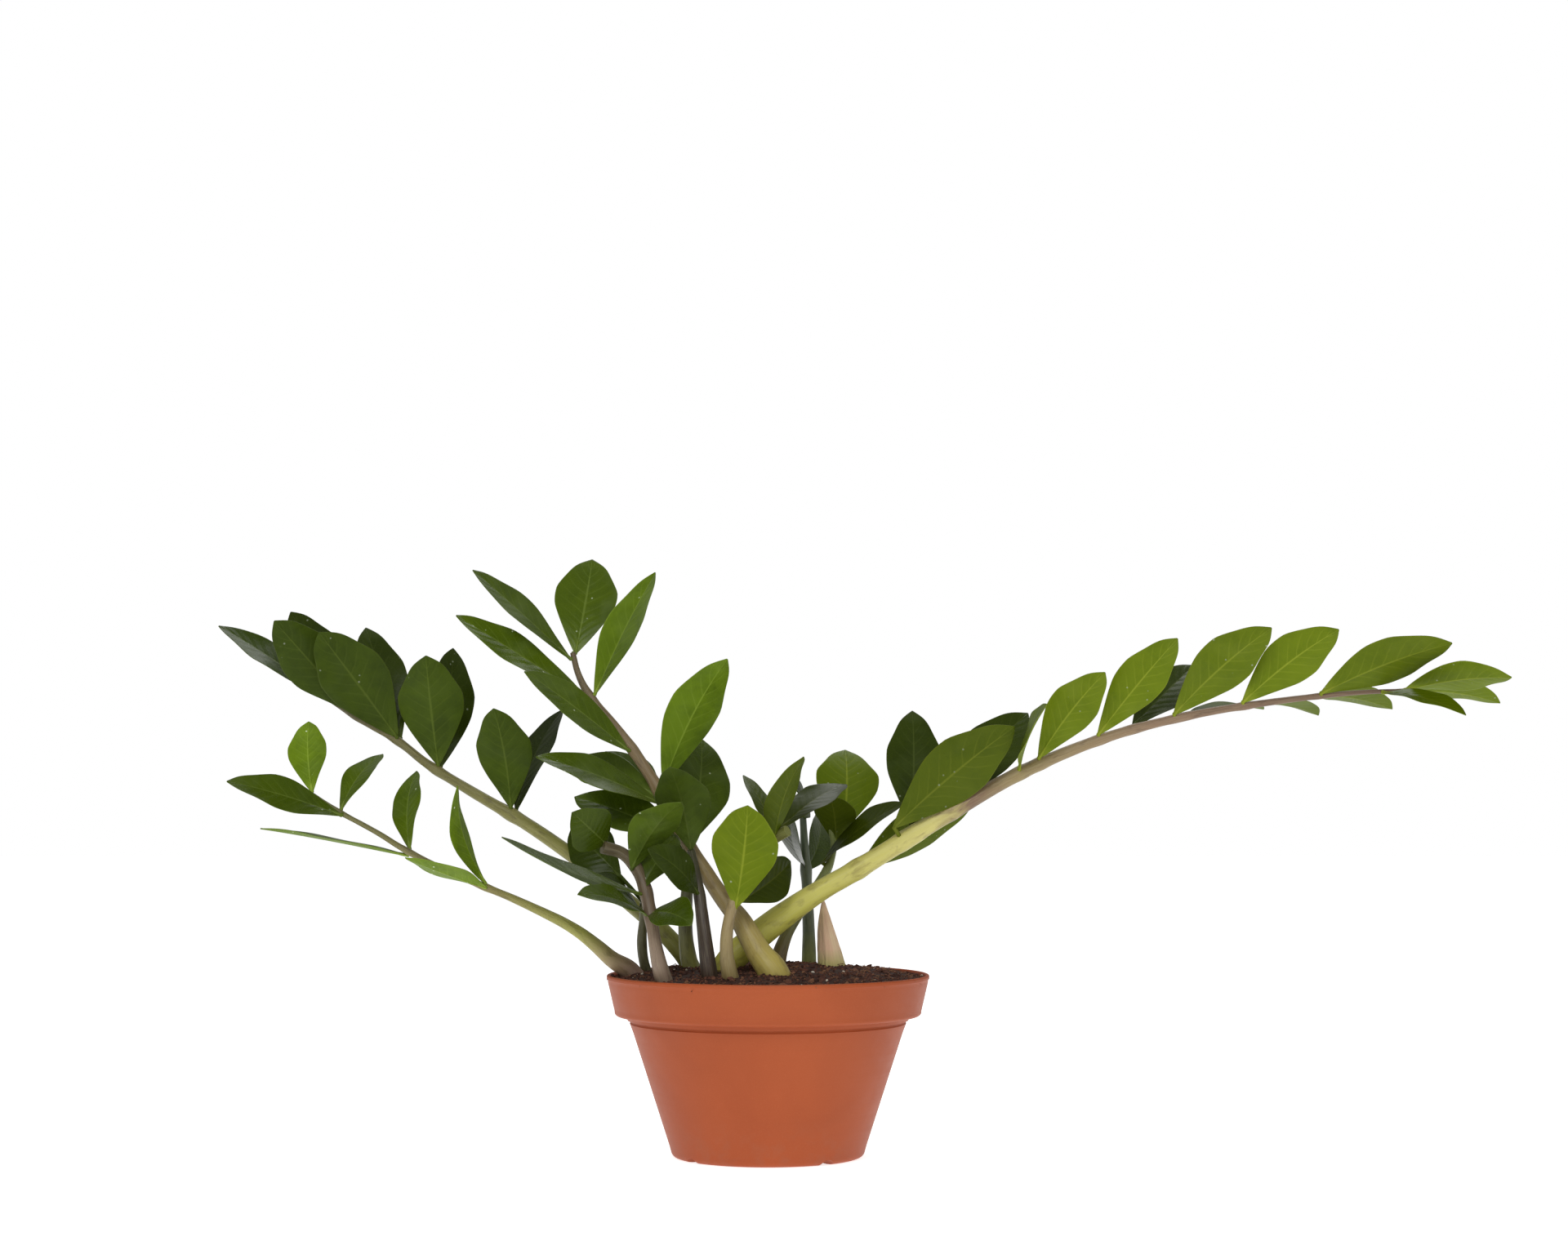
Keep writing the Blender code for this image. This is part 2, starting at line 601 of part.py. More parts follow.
def main():
    clear_scene()
    parts = new_collection("potted_zz_plant")
    cutters = new_collection("cutters")
    build_pot(parts, cutters)
    soil = turned("soil", soil_profile(), SOIL_STEPS, principled("peat", PEAT, 0.95), parts)
    tuber = build_tuber(parts)

    pocket_mesh = tuber.data.copy()
    pocket = add_object("tuber_pocket", pocket_mesh, None, cutters)
    centre = Vector(TUBER_CENTRE) * MM
    for vert in pocket_mesh.vertices:
        offset = vert.co - centre
        vert.co = vert.co + offset.normalized() * POCKET_GAP * MM
    hide_guide(pocket)
    subtract(soil, pocket)

    stem_materials = {
        "right": principled("pale stem", STEM_GREEN, 0.4),
        "upper_left": principled("olive stem", STEM_GREEN, 0.4),
        "lower_left": principled("thin stem", STEM_GREEN, 0.45),
        "centre": principled("brown stem", STEM_BROWN, 0.45),
    }
    lime = principled("lime leaflet", LIME, 0.35)
    green = principled("green leaflet", LEAF_GREEN, 0.3)
    deep = principled("deep green leaflet", DEEP_GREEN, 0.28)
    for name, frond in LONG_FRONDS.items():
        front = lime if name == "right" else green
        route = build_long_frond(name, frond, stem_materials[name], (front, deep), parts)
        cut_hole(name, route, soil, tuber, cutters)
    for name, frond in SHORT_FRONDS.items():
        shade = lime if name in ("bright_front", "pale_back") else deep
        route = build_short_frond(name, frond, shade, parts, cutters)
        cut_hole(name, route, soil, tuber, cutters)

    sheath_route = smooth_route(SHEATH_ROUTE, SHEATH_STEP)
    tube("sheath", sheath_route, 0.0, principled("dry sheath", SHEATH_TAN, 0.7), parts)
    cut_hole("sheath", sheath_route, soil, None, cutters)


main()
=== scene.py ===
import json
import math

import bmesh
import bpy
import numpy as np
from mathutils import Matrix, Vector, noise


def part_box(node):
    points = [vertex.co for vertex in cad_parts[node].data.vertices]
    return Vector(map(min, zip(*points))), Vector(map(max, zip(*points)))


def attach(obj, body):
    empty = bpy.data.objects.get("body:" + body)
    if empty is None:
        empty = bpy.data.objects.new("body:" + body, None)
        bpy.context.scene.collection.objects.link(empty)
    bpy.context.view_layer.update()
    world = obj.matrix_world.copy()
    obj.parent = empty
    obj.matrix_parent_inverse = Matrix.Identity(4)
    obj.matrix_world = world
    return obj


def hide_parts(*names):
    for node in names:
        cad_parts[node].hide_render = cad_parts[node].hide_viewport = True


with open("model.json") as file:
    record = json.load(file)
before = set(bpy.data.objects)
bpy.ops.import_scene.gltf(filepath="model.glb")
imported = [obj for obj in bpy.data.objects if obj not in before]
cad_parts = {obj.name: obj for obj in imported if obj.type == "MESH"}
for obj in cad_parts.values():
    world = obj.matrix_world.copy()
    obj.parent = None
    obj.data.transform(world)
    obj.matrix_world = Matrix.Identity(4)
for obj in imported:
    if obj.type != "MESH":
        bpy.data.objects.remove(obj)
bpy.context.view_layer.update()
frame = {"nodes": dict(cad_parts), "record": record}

mm = 0.001
record = frame["record"]
scene = bpy.context.scene


def make(tree, kind, inputs=None, **settings):
    node = tree.nodes.new(kind)
    count = len(tree.nodes)
    node.location = (230 * (count % 10), -300 * (count // 10))
    for key, value in settings.items():
        setattr(node, key, value)
    for key, value in (inputs or {}).items():
        if isinstance(value, bpy.types.NodeSocket):
            tree.links.new(value, node.inputs[key])
        else:
            node.inputs[key].default_value = value
    return node


def calc(tree, operation, *values, clamp=False):
    node = make(tree, "ShaderNodeMath", dict(enumerate(values)), operation=operation, use_clamp=clamp)
    return node.outputs[0]


def scaled(tree, vector, factor):
    return make(tree, "ShaderNodeVectorMath", {0: vector, "Scale": factor}, operation="SCALE").outputs[0]


def mixColour(tree, factor, a, b, mode="MIX"):
    node = make(tree, "ShaderNodeMix", {0: factor, 6: a, 7: b}, data_type="RGBA", blend_type=mode)
    return node.outputs[2]


def spread(tree, value, low, high, toLow=0.0, toHigh=1.0):
    names = {"Value": value, "From Min": low, "From Max": high, "To Min": toLow, "To Max": toHigh}
    return make(tree, "ShaderNodeMapRange", names, clamp=True).outputs[0]


def grain(tree, where, scale, detail=4.0, rough=0.55, bend=0.0):
    names = {"Vector": where, "Scale": scale, "Detail": detail, "Roughness": rough, "Distortion": bend}
    return make(tree, "ShaderNodeTexNoise", names).outputs[0]


def stretched(tree, where, scale):
    return make(tree, "ShaderNodeMapping", {"Vector": where, "Scale": scale}).outputs[0]


def attribute(tree, name):
    return make(tree, "ShaderNodeAttribute", attribute_name=name).outputs["Fac"]


def wrapped(tree):
    # a rod's turn and length as one place, so a pattern on it closes without a seam
    turn = calc(tree, "MULTIPLY", attribute(tree, "around"), 2 * math.pi)
    return make(tree, "ShaderNodeCombineXYZ", {
        0: calc(tree, "COSINE", turn), 1: calc(tree, "SINE", turn), 2: attribute(tree, "along"),
    }).outputs[0]


def colourStops(tree, factor, stops):
    node = make(tree, "ShaderNodeValToRGB", {"Fac": factor})
    band = node.color_ramp.elements
    while len(band) < len(stops):
        band.new(1.0)
    for element, (place, colour) in zip(band, stops):
        element.position = place
        element.color = colour + (1.0,)
    return node.outputs[0]


def raised(tree, height, strength, distance, under=None):
    names = {"Height": height, "Strength": strength, "Distance": distance}
    if under:
        names["Normal"] = under
    return make(tree, "ShaderNodeBump", names).outputs[0]


def newMaterial(name):
    material = bpy.data.materials.new(name)
    material.use_nodes = True
    material.node_tree.nodes.clear()
    where = make(material.node_tree, "ShaderNodeTexCoord").outputs["Object"]
    return material, material.node_tree, where


def finishMaterial(tree, colour, rough, normal, constants):
    names = {"Base Color": colour, "Roughness": rough}
    if normal:
        names["Normal"] = normal
    names.update(constants)
    shader = make(tree, "ShaderNodeBsdfPrincipled", names)
    make(tree, "ShaderNodeOutputMaterial", {"Surface": shader.outputs[0]})


def newTree(name, inputs):
    tree = bpy.data.node_groups.new(name, "GeometryNodeTree")
    tree.is_modifier = True
    tree.interface.new_socket("Geometry", in_out="OUTPUT", socket_type="NodeSocketGeometry")
    tree.interface.new_socket("Geometry", in_out="INPUT", socket_type="NodeSocketGeometry")
    for label, kind in inputs:
        tree.interface.new_socket(label, in_out="INPUT", socket_type="NodeSocket" + kind)
    return tree, tree.nodes.new("NodeGroupInput").outputs


def endTree(tree, geometry, material):
    made = make(tree, "GeometryNodeRealizeInstances", {"Geometry": geometry}).outputs[0]
    made = make(tree, "GeometryNodeSetMaterial", {"Geometry": made, "Material": material}).outputs[0]
    tree.links.new(made, tree.nodes.new("NodeGroupOutput").inputs[0])


def runTree(obj, tree, values):
    # the evaluated result becomes a plain mesh, and the modifier goes
    modifier = obj.modifiers.new(tree.name, "NODES")
    modifier.node_group = tree
    for item in tree.interface.items_tree:
        if item.in_out == "INPUT" and item.name in values:
            modifier[item.identifier] = values[item.name]
    bpy.context.view_layer.update()
    evaluated = obj.evaluated_get(bpy.context.evaluated_depsgraph_get())
    mesh = bpy.data.meshes.new_from_object(evaluated)
    obj.modifiers.clear()
    obj.data = mesh
    mesh.name = obj.name


def addPiece(name, verts, faces, material=None):
    mesh = bpy.data.meshes.new(name)
    mesh.from_pydata([tuple(v) for v in verts], [], faces)
    mesh.update()
    obj = bpy.data.objects.new(name, mesh)
    if material:
        mesh.materials.append(material)
    scene.collection.objects.link(obj)
    return obj


def tubeFaces(rows, sides):
    # the sides of a stack of rings, and a cap on its first and last ring
    faces = [list(range(sides)), list(range((rows - 1) * sides, rows * sides))]
    for i in range(rows - 1):
        for k in range(sides):
            a, b = i * sides + k, i * sides + (k + 1) % sides
            faces.append([a, b, b + sides, a + sides])
    return faces


def settle(obj, slot, *nodes):
    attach(obj, "root")
    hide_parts(*nodes)


def turnOut(obj):
    shape = bmesh.new()
    shape.from_mesh(obj.data)
    bmesh.ops.recalc_face_normals(shape, faces=shape.faces)
    shape.to_mesh(obj.data)
    shape.free()
    obj.data.shade_smooth()


def storeFloats(mesh, name, values):
    mesh.attributes.new(name, "FLOAT", "POINT").data.foreach_set("value", np.asarray(values, np.float32))


def smoothRead(xs, ys, at):
    # a cubic through the points, read at other places
    xs = np.asarray(xs, float)
    ys = np.asarray(ys, float)
    slopes = np.gradient(ys, xs, axis=0)
    k = np.clip(np.searchsorted(xs, at, side="right") - 1, 0, len(xs) - 2)
    width = (xs[k + 1] - xs[k])[:, None]
    t = (np.asarray(at) - xs[k])[:, None] / width
    a = ys[k] * (1 + 2 * t) * (1 - t) ** 2 + slopes[k] * width * t * (1 - t) ** 2
    return a + ys[k + 1] * t ** 2 * (3 - 2 * t) + slopes[k + 1] * width * t ** 2 * (t - 1)


def unit(v):
    return v / np.linalg.norm(v)


def distances(path):
    # how far along the path each of its points lies
    return np.concatenate([[0], np.cumsum(np.linalg.norm(np.diff(path, axis=0), axis=1))])


cadShape = {
    "stations": (0.0, 0.14, 0.32, 0.54, 0.75, 0.91, 1.0),  # rows of a blade, foot to tip
    "swells": (0.0, 0.42, 0.82, 1.0, 0.84, 0.45, 0.03),    # and their share of the half width
    "ring": 8,                                             # corners around a stem
    "rowPoints": 6,                                        # left, middle and right, on both sides
    "weldSteps": 1e5,                                      # to the metre: corners this close are one
    "capReach": 12 * mm,                                   # a stem's buried cap is near its lowest corner
    "capFlat": 0.05 * mm,                                  # and its corners are this near one plane
    "leastRing": 4,                                        # corners that still show where a ring's middle is
    "leastRows": 3,                                        # rows that still show a blade
    "shareSlack": 0.01,                                    # stations this close are the same
    "tipSpan": 1.35 * mm,                                  # how close the corners of a tip are
    "ringSpan": 9 * mm,                                    # how close the corners left of a ring are
    "footHalf": 0.9 * mm,                                  # half the width of a blade's foot
    "partTrust": 0.15,                                     # weight of a ring that isn't whole
    "curveOrder": 4,                                       # of the curve through rings that aren't whole
    "bladeDepth": 3 * mm,                                  # a corner this near a blade's sheet belongs to it
    "bladeMargin": 1 * mm,                                 # and this far past its edge
    "bladeShares": (0.12, 1.02),                           # and between these shares of its length
}


def readShape(name):
    mesh = frame["nodes"][name].data
    places = {}
    keys = [tuple(round(c * cadShape["weldSteps"]) for c in v.co) for v in mesh.vertices]
    index = [places.setdefault(key, len(places)) for key in keys]
    points = np.zeros((len(places), 3))
    for vertex, i in zip(mesh.vertices, index):
        points[i] = vertex.co
    near = [set() for _ in points]
    faces = [[index[v] for v in face.vertices] for face in mesh.polygons]
    for corners in faces:
        for a in corners:
            near[a].update(corners)
    return points, near, faces


def readStem(points, near, faces, skip=frozenset()):
    # rings from the buried end up; where blades join, what is left of each ring
    lowest = points[:, 2].min()
    best = None
    for corners in faces:
        a, b, c = points[corners[:3]]
        normal = np.cross(b - a, c - a)
        if a[2] < lowest + cadShape["capReach"] and np.linalg.norm(normal) > 0:
            slope = unit(normal)[2]
            if best is None or slope < best[0]:
                best = (slope, a, unit(normal))
    _, spot, facing = best
    cap = {i for i in range(len(points)) if abs((points[i] - spot) @ facing) < cadShape["capFlat"]}
    rings = [cap]
    seen = set(cap)
    while True:
        step = set().union(*(near[i] for i in rings[-1])) - seen - skip
        if len(step) != cadShape["ring"]:
            break
        rings.append(step)
        seen |= step
    groups = [sorted(ring) for ring in rings]
    beside = set().union(*(near[i] for i in skip)) if skip else set()
    rest = sorted(set(range(len(points))) - seen - skip - beside)
    while rest:
        last = points[groups[-1]].mean(0)
        first = min(rest, key=lambda i: np.linalg.norm(points[i] - last))
        group = [i for i in rest if np.linalg.norm(points[i] - points[first]) < cadShape["ringSpan"]]
        rest = [i for i in rest if i not in group]
        if len(group) >= cadShape["leastRing"]:
            groups.append(group)
    middles = np.array([points[g].mean(0) for g in groups])
    if skip:
        # partial rings lean to one side, so a low curve through all of them is used
        reach = distances(middles)
        trust = [1.0 if len(g) == cadShape["ring"] else cadShape["partTrust"] for g in groups]
        terms = np.polynomial.polynomial.polyfit(reach, middles, cadShape["curveOrder"], w=trust)
        middles = np.polynomial.polynomial.polyval(reach, terms).T
    runs = np.gradient(middles, axis=0)
    radii = {}
    for k, (group, middle, run) in enumerate(zip(groups, middles, runs)):
        off = points[group] - middle
        off = off - np.outer(off @ unit(run), unit(run))
        if len(group) == cadShape["ring"]:
            radii[k] = np.median(np.linalg.norm(off, axis=1))
    return middles, np.interp(range(len(groups)), list(radii), list(radii.values()))


def readRows(rows):
    # each row of six points becomes its left, middle and right point
    wide = max(rows, key=lambda row: np.ptp(row, axis=0).sum())
    side = np.linalg.svd(wide - wide.mean(0))[2][0]
    out = []
    for row in rows:
        order = row[np.argsort(row @ side)]
        out.append([order[0:2].mean(0), order[2:4].mean(0), order[4:6].mean(0)])
    out = np.array(out)
    along = unit(out[-1, 1] - out[0, 1])
    best = np.argmax(np.linalg.norm(out[:, 0] - out[:, 2], axis=1))
    up = (out[best, 0] + out[best, 2]) / 2 - out[best, 1]
    if (out[best, 2] - out[best, 0]) @ np.cross(up, along) < 0:
        out = out[:, ::-1]
    return out


def readLeaflet(name):
    points = readShape(name)[0]
    axis = np.linalg.svd(points - points.mean(0))[2][0]
    for _ in range(3):
        rows = points[np.argsort(points @ axis)].reshape(-1, cadShape["rowPoints"], 3)
        axis = unit(rows[-1].mean(0) - rows[0].mean(0))
    if np.ptp(rows[0], axis=0).sum() < np.ptp(rows[-1], axis=0).sum():
        rows = rows[::-1]
    return readRows(list(rows))


def pointsOnBlade(points, rows):
    # corners that lie in a blade, where two blades cross and the rows can't be followed
    foot, tip = rows[0, 1], rows[-1, 1]
    along = unit(tip - foot)
    side = unit(rows[3, 2] - rows[3, 0])
    up = unit(np.cross(along, side))
    share = (points - foot) @ along / np.linalg.norm(tip - foot)
    half = np.linalg.norm(rows[:, 2] - rows[:, 0], axis=1) / 2
    height = np.interp(share, cadShape["stations"], (rows.mean(1) - foot) @ up)
    wide = np.interp(share, cadShape["stations"], half) + cadShape["bladeMargin"]
    low, high = cadShape["bladeShares"]
    inside = (share > low) & (share < high) & (np.abs((points - foot) @ side) < wide)
    inside &= np.abs((points - foot) @ up - height) < cadShape["bladeDepth"]
    return set(np.nonzero(inside)[0].tolist())


def readFrond(name):
    # a joined frond: rows of six are followed from each tip down to the stem
    points, near, faces = readShape(name)
    blades = []
    skip = set()
    for i in range(len(points)):
        gaps = np.linalg.norm(points - points[i], axis=1)
        tip = set(np.nonzero(gaps < cadShape["tipSpan"])[0].tolist())
        if i in skip or len(tip) != cadShape["rowPoints"]:
            continue
        rows = [tip]
        seen = set(tip)
        while len(rows) < len(cadShape["stations"]) - 1:
            step = set().union(*(near[k] for k in rows[-1])) - seen
            if len(step) != cadShape["rowPoints"]:
                break
            rows.append(step)
            seen |= step
        if len(rows) < cadShape["leastRows"]:
            continue
        skip |= seen
        found = readRows([points[sorted(row)] for row in reversed(rows)])
        shares = np.array(cadShape["stations"][-len(rows):])
        # the middle line is a parabola in the share, so its foot follows from the rows
        terms = np.stack([np.ones_like(shares), shares, 4 * shares * (1 - shares)], axis=1)
        line = np.linalg.lstsq(terms, found[:, 1], rcond=None)[0]
        reach = (found[0, 2] - found[0, 0]) / 2
        lift = (found[0, 2] + found[0, 0]) / 2 - found[0, 1]
        extra = []
        for share, swell in zip(cadShape["stations"], cadShape["swells"]):
            if share > shares[0] - cadShape["shareSlack"]:
                break
            middle = line[0] + line[1] * share + line[2] * 4 * share * (1 - share)
            grow = swell / np.interp(shares[0], cadShape["stations"], cadShape["swells"])
            half = reach * grow if share > 0 else unit(reach) * cadShape["footHalf"]
            extra.append([middle + lift * grow - half, middle, middle + lift * grow + half])
        whole = np.concatenate([np.array(extra), found]) if extra else found
        blades.append(whole)
        skip |= pointsOnBlade(points, whole)
    blades.sort(key=lambda rows: rows[-1, 1, 0])
    return blades, readStem(points, near, faces, frozenset(skip))


longFronds = {}
shortFronds = {}
for nodeName in sorted(frame["nodes"]):
    if nodeName.endswith("_stem"):
        longFronds[nodeName[:-5]] = {"stem": readStem(*readShape(nodeName)), "blades": {}}
    if nodeName.endswith("_frond"):
        blades, stem = readFrond(nodeName)
        shortFronds[nodeName[:-6]] = {"stem": stem, "blades": blades}
for nodeName in sorted(frame["nodes"]):
    if "_leaflet_" in nodeName:
        longFronds[nodeName.split("_leaflet_")[0]]["blades"][nodeName] = readLeaflet(nodeName)
for name, frond in {**longFronds, **shortFronds}.items():
    print("read", name, len(frond["blades"]), "blades,", len(frond["stem"][0]), "rings")


slotOf = {part["node"]: part["material_slot"] for part in record["subparts"]}

# each look's bloom colour and share give a dusty bloom that is partly painted sheen
leafLooks = {
    "lime_leaf": {
        "upper": (0.092, 0.134, 0.001, 1), "lower": (0.108, 0.152, 0.002, 1),
        "patch": (0.078, 0.118, 0.001, 1), "vein": (0.22, 0.26, 0.02, 1),
        "bloom": (0.22, 0.26, 0.06, 1), "bloomShare": 0.10, "rough": 0.31,
    },
    "green_leaf": {
        "upper": (0.039, 0.066, 0.001, 1), "lower": (0.052, 0.084, 0.002, 1),
        "patch": (0.029, 0.050, 0.001, 1), "vein": (0.10, 0.14, 0.015, 1),
        "bloom": (0.11, 0.15, 0.05, 1), "bloomShare": 0.10, "rough": 0.30,
    },
    "deep_leaf": {
        "upper": (0.034, 0.053, 0.002, 1), "lower": (0.050, 0.078, 0.005, 1),
        "patch": (0.022, 0.036, 0.002, 1), "vein": (0.072, 0.098, 0.016, 1),
        "bloom": (0.090, 0.115, 0.050, 1), "bloomShare": 0.16, "rough": 0.28,
    },
}
bladeLook = {
    "rows": 32,
    "across": (0.0, 0.06, 0.16, 0.31, 0.49, 0.67, 0.84, 0.96, 1.0),
    "thick": 0.8 * mm,
    "edge": 0.3 * mm,
    "groove": 0.3 * mm,
    "rib": 0.55 * mm,
    "wave": 0.7 * mm,
    "twist": 8.0,
    "droop": 2.5 * mm,
    "tipPinch": 0.13,
    "tipStart": 0.62,
    "footPinch": 0.08,
    "footEnd": 0.42,
    "twistFrom": 0.15,
    "bends": (-0.4, 1.0),
    "sway": 0.6,
    "waves": (1.2, 2.4),
    "cup": 1.45,
    "creaseHalf": 0.13,
    "creaseFade": 0.75,
    "stalkEnds": (0.04, 0.13),
    "stalk": (1.5 * mm, 1.35 * mm, 1.1 * mm, 0.5 * mm),
    "stalkSides": 10,
    "pale": (0.0, 0.5),
}


def leafMaterial(name, look):
    material, tree, where = newMaterial(name)
    blade = make(tree, "ShaderNodeUVMap", uv_map="blade").outputs[0]
    parts = make(tree, "ShaderNodeSeparateXYZ", {0: blade}).outputs
    along = parts[0]
    off = calc(tree, "ABSOLUTE", calc(tree, "MULTIPLY_ADD", parts[1], 2.0, -1.0))
    upper = attribute(tree, "upper")
    shade = attribute(tree, "shade")
    mottle = grain(tree, where, 55, 5, 0.6, 0.4)
    fine = grain(tree, where, 900, 4, 0.6)
    base = mixColour(tree, upper, look["lower"], look["upper"])
    base = mixColour(tree, spread(tree, mottle, 0.42, 0.72, 0.0, 0.75), base, look["patch"])

    # side veins leave the midrib at a slant and fade before the margin
    slant = calc(tree, "MULTIPLY_ADD", off, -1.9, calc(tree, "MULTIPLY", along, 10.0))
    slant = calc(tree, "ADD", slant, calc(tree, "MULTIPLY", mottle, 0.5))
    vein = calc(tree, "PINGPONG", slant, 0.5)
    veinLine = calc(tree, "MULTIPLY", spread(tree, vein, 0.10, 0.0), spread(tree, off, 0.95, 0.35))
    ribWidth = calc(tree, "MULTIPLY_ADD", along, -0.045, 0.07)
    ribLine = spread(tree, calc(tree, "DIVIDE", off, ribWidth), 1.0, 0.35)
    base = mixColour(tree, calc(tree, "MULTIPLY", veinLine, 0.28), base, look["vein"])
    base = mixColour(tree, calc(tree, "MULTIPLY", ribLine, 0.62), base, look["vein"])
    margin = spread(tree, off, 0.955, 1.0, 0.0, 0.5)
    base = mixColour(tree, margin, base, look["vein"])
    footGlow = spread(tree, along, 0.14, 0.0, 0.0, 0.6)
    base = mixColour(tree, footGlow, base, look["vein"])

    # a dusty bloom mixed with painted sheen in soft greyish patches, and a few dried water spots
    cloud = grain(tree, where, 28, 3, 0.5, 0.8)
    bloom = spread(tree, cloud, 0.5, 0.72, 0.0, look["bloomShare"])
    base = mixColour(tree, bloom, base, look["bloom"])
    cells = make(tree, "ShaderNodeTexVoronoi", {"Vector": where, "Scale": 190.0})
    chosen = spread(tree, calc(tree, "FRACT", calc(tree, "MULTIPLY", cells.outputs["Color"], 7.0)), 0.88, 0.9)
    spot = calc(tree, "MULTIPLY", spread(tree, cells.outputs["Distance"], 0.16, 0.08), chosen)
    base = mixColour(tree, calc(tree, "MULTIPLY", spot, 0.5), base, (0.42, 0.46, 0.34, 1))
    tone = make(tree, "ShaderNodeHueSaturation", {"Value": shade, "Color": base}).outputs[0]

    rough = calc(tree, "MULTIPLY_ADD", fine, 0.16, look["rough"] - 0.08)
    rough = calc(tree, "ADD", rough, calc(tree, "MULTIPLY", bloom, 0.5))
    rough = calc(tree, "ADD", rough, spread(tree, upper, 1.0, 0.0, 0.0, 0.3))    # the underside is duller
    rough = calc(tree, "MULTIPLY_ADD", spot, 0.2, rough, clamp=True)
    quilt = calc(tree, "MULTIPLY", spread(tree, vein, 0.0, 0.5), spread(tree, off, 1.0, 0.3))
    normal = raised(tree, quilt, 0.25, 0.5 * mm)
    normal = raised(tree, mottle, 0.35, 1.2 * mm, normal)
    normal = raised(tree, fine, 0.22, 0.12 * mm, normal)
    shine = {"Specular IOR Level": 0.11, "Coat Weight": 0.03, "Coat Roughness": 0.16}
    finishMaterial(tree, tone, rough, normal, shine)
    return material


def rodMesh(path, radii, sides):
    # rings along the path, with both ends closed
    path = np.asarray(path, float)
    runs = np.gradient(path, axis=0)
    across = np.array([0.0, 0.0, 1.0])
    if abs(unit(runs[0])[2]) > 0.9:
        across = np.array([1.0, 0.0, 0.0])
    verts = []
    for point, run, radius in zip(path, runs, radii):
        run = unit(run)
        across = unit(across - run * (across @ run))
        other = np.cross(run, across)
        for k in range(sides):
            angle = 2 * math.pi * k / sides
            verts.append(point + radius * (across * math.cos(angle) + other * math.sin(angle)))
    return np.array(verts), tubeFaces(len(path), sides)


def bladeMesh(rows, root, seed, shade):
    # an upper and a lower sheet joined at the margin, and a short stalk down to the stem
    look = bladeLook
    dice = np.random.default_rng(seed)
    foot, tip = rows[0, 1], rows[-1, 1]
    along = unit(tip - foot)
    up = (rows[3, 0] + rows[3, 2]) / 2 - rows[3, 1]
    up = unit(up - along * (up @ along))
    even = np.linspace(0, 1, look["rows"])
    share = 0.5 * even + 0.25 * (1 - np.cos(math.pi * even))
    lines = smoothRead(cadShape["stations"], rows.reshape(-1, 9), share).reshape(-1, 3, 3)
    half = (lines[:, 2] - lines[:, 0]) / 2
    lift = ((lines[:, 0] + lines[:, 2]) / 2 - lines[:, 1]) @ up
    half = half - np.outer(half @ up, up)
    tipPart = np.clip((share - look["tipStart"]) / (1 - look["tipStart"]), 0, 1)
    footPart = np.clip(share / look["footEnd"], 0, 1)
    pinch = 1 - look["tipPinch"] * np.sin(math.pi * tipPart) - look["footPinch"] * np.sin(math.pi * footPart)
    half = half * pinch[:, None]
    twist = math.radians(dice.uniform(-look["twist"], look["twist"]))
    turn = twist * np.clip(share - look["twistFrom"], 0, 1)
    half = half * np.cos(turn)[:, None] + np.cross(along, half) * np.sin(turn)[:, None]
    bend = dice.uniform(*look["bends"]) * look["droop"] * share ** 3
    sway = dice.uniform(-1, 1) * look["droop"] * look["sway"] * share * (1 - share) * 4
    middle = lines[:, 1] - np.outer(bend, up) + np.outer(sway, np.cross(up, along))
    waves = dice.uniform(*look["waves"])
    phases = dice.uniform(0, 2 * math.pi, 2)
    columns = [-v for v in look["across"][:0:-1]] + list(look["across"])
    verts = []
    uvs = []
    for upward in (1, -1):
        for k, s in enumerate(share):
            for v in columns:
                ripple = np.sin(2 * math.pi * waves * s + phases[int(v > 0)]) * abs(v) ** 3 * s * (1 - s) * 4
                height = lift[k] * abs(v) ** look["cup"] + look["wave"] * ripple
                thick = look["edge"] + (look["thick"] - look["edge"]) * (1 - abs(v) ** 2)
                crease = max(0.0, 1 - abs(v) / look["creaseHalf"]) * (1 - look["creaseFade"] * s)
                carve = look["groove"] if upward > 0 else look["rib"]
                step = upward * thick / 2 - carve * crease
                verts.append(middle[k] + half[k] * v + up * (height + step))
                uvs.append((s, (v + 1) / 2))
    wide = len(columns)
    sheet = len(share) * wide
    faces = []
    for i in range(len(share) - 1):
        for j in range(wide - 1):
            a = i * wide + j
            faces.append([a, a + wide, a + wide + 1, a + 1])
            faces.append([a + sheet, a + sheet + 1, a + sheet + wide + 1, a + sheet + wide])
        for a in (i * wide, i * wide + wide - 1):
            faces.append([a, a + wide, a + wide + sheet, a + sheet])
    for start in (0, sheet - wide):
        for j in range(start, start + wide - 1):
            faces.append([j, j + 1, j + 1 + sheet, j + sheet])
    upper = [1.0] * sheet + [0.0] * sheet

    mid = np.array([np.interp(look["stalkEnds"], share, middle[:, c]) for c in range(3)]).T
    stalk, ends = rodMesh([root, foot, mid[0], mid[1]], look["stalk"], look["stalkSides"])
    base = len(verts)
    verts += list(stalk)
    uvs += [look["pale"]] * len(stalk)
    upper += [0.0] * len(stalk)
    faces += [[i + base for i in face] for face in ends]
    return {"verts": verts, "faces": faces, "uvs": uvs, "upper": upper, "shade": [shade] * len(verts)}


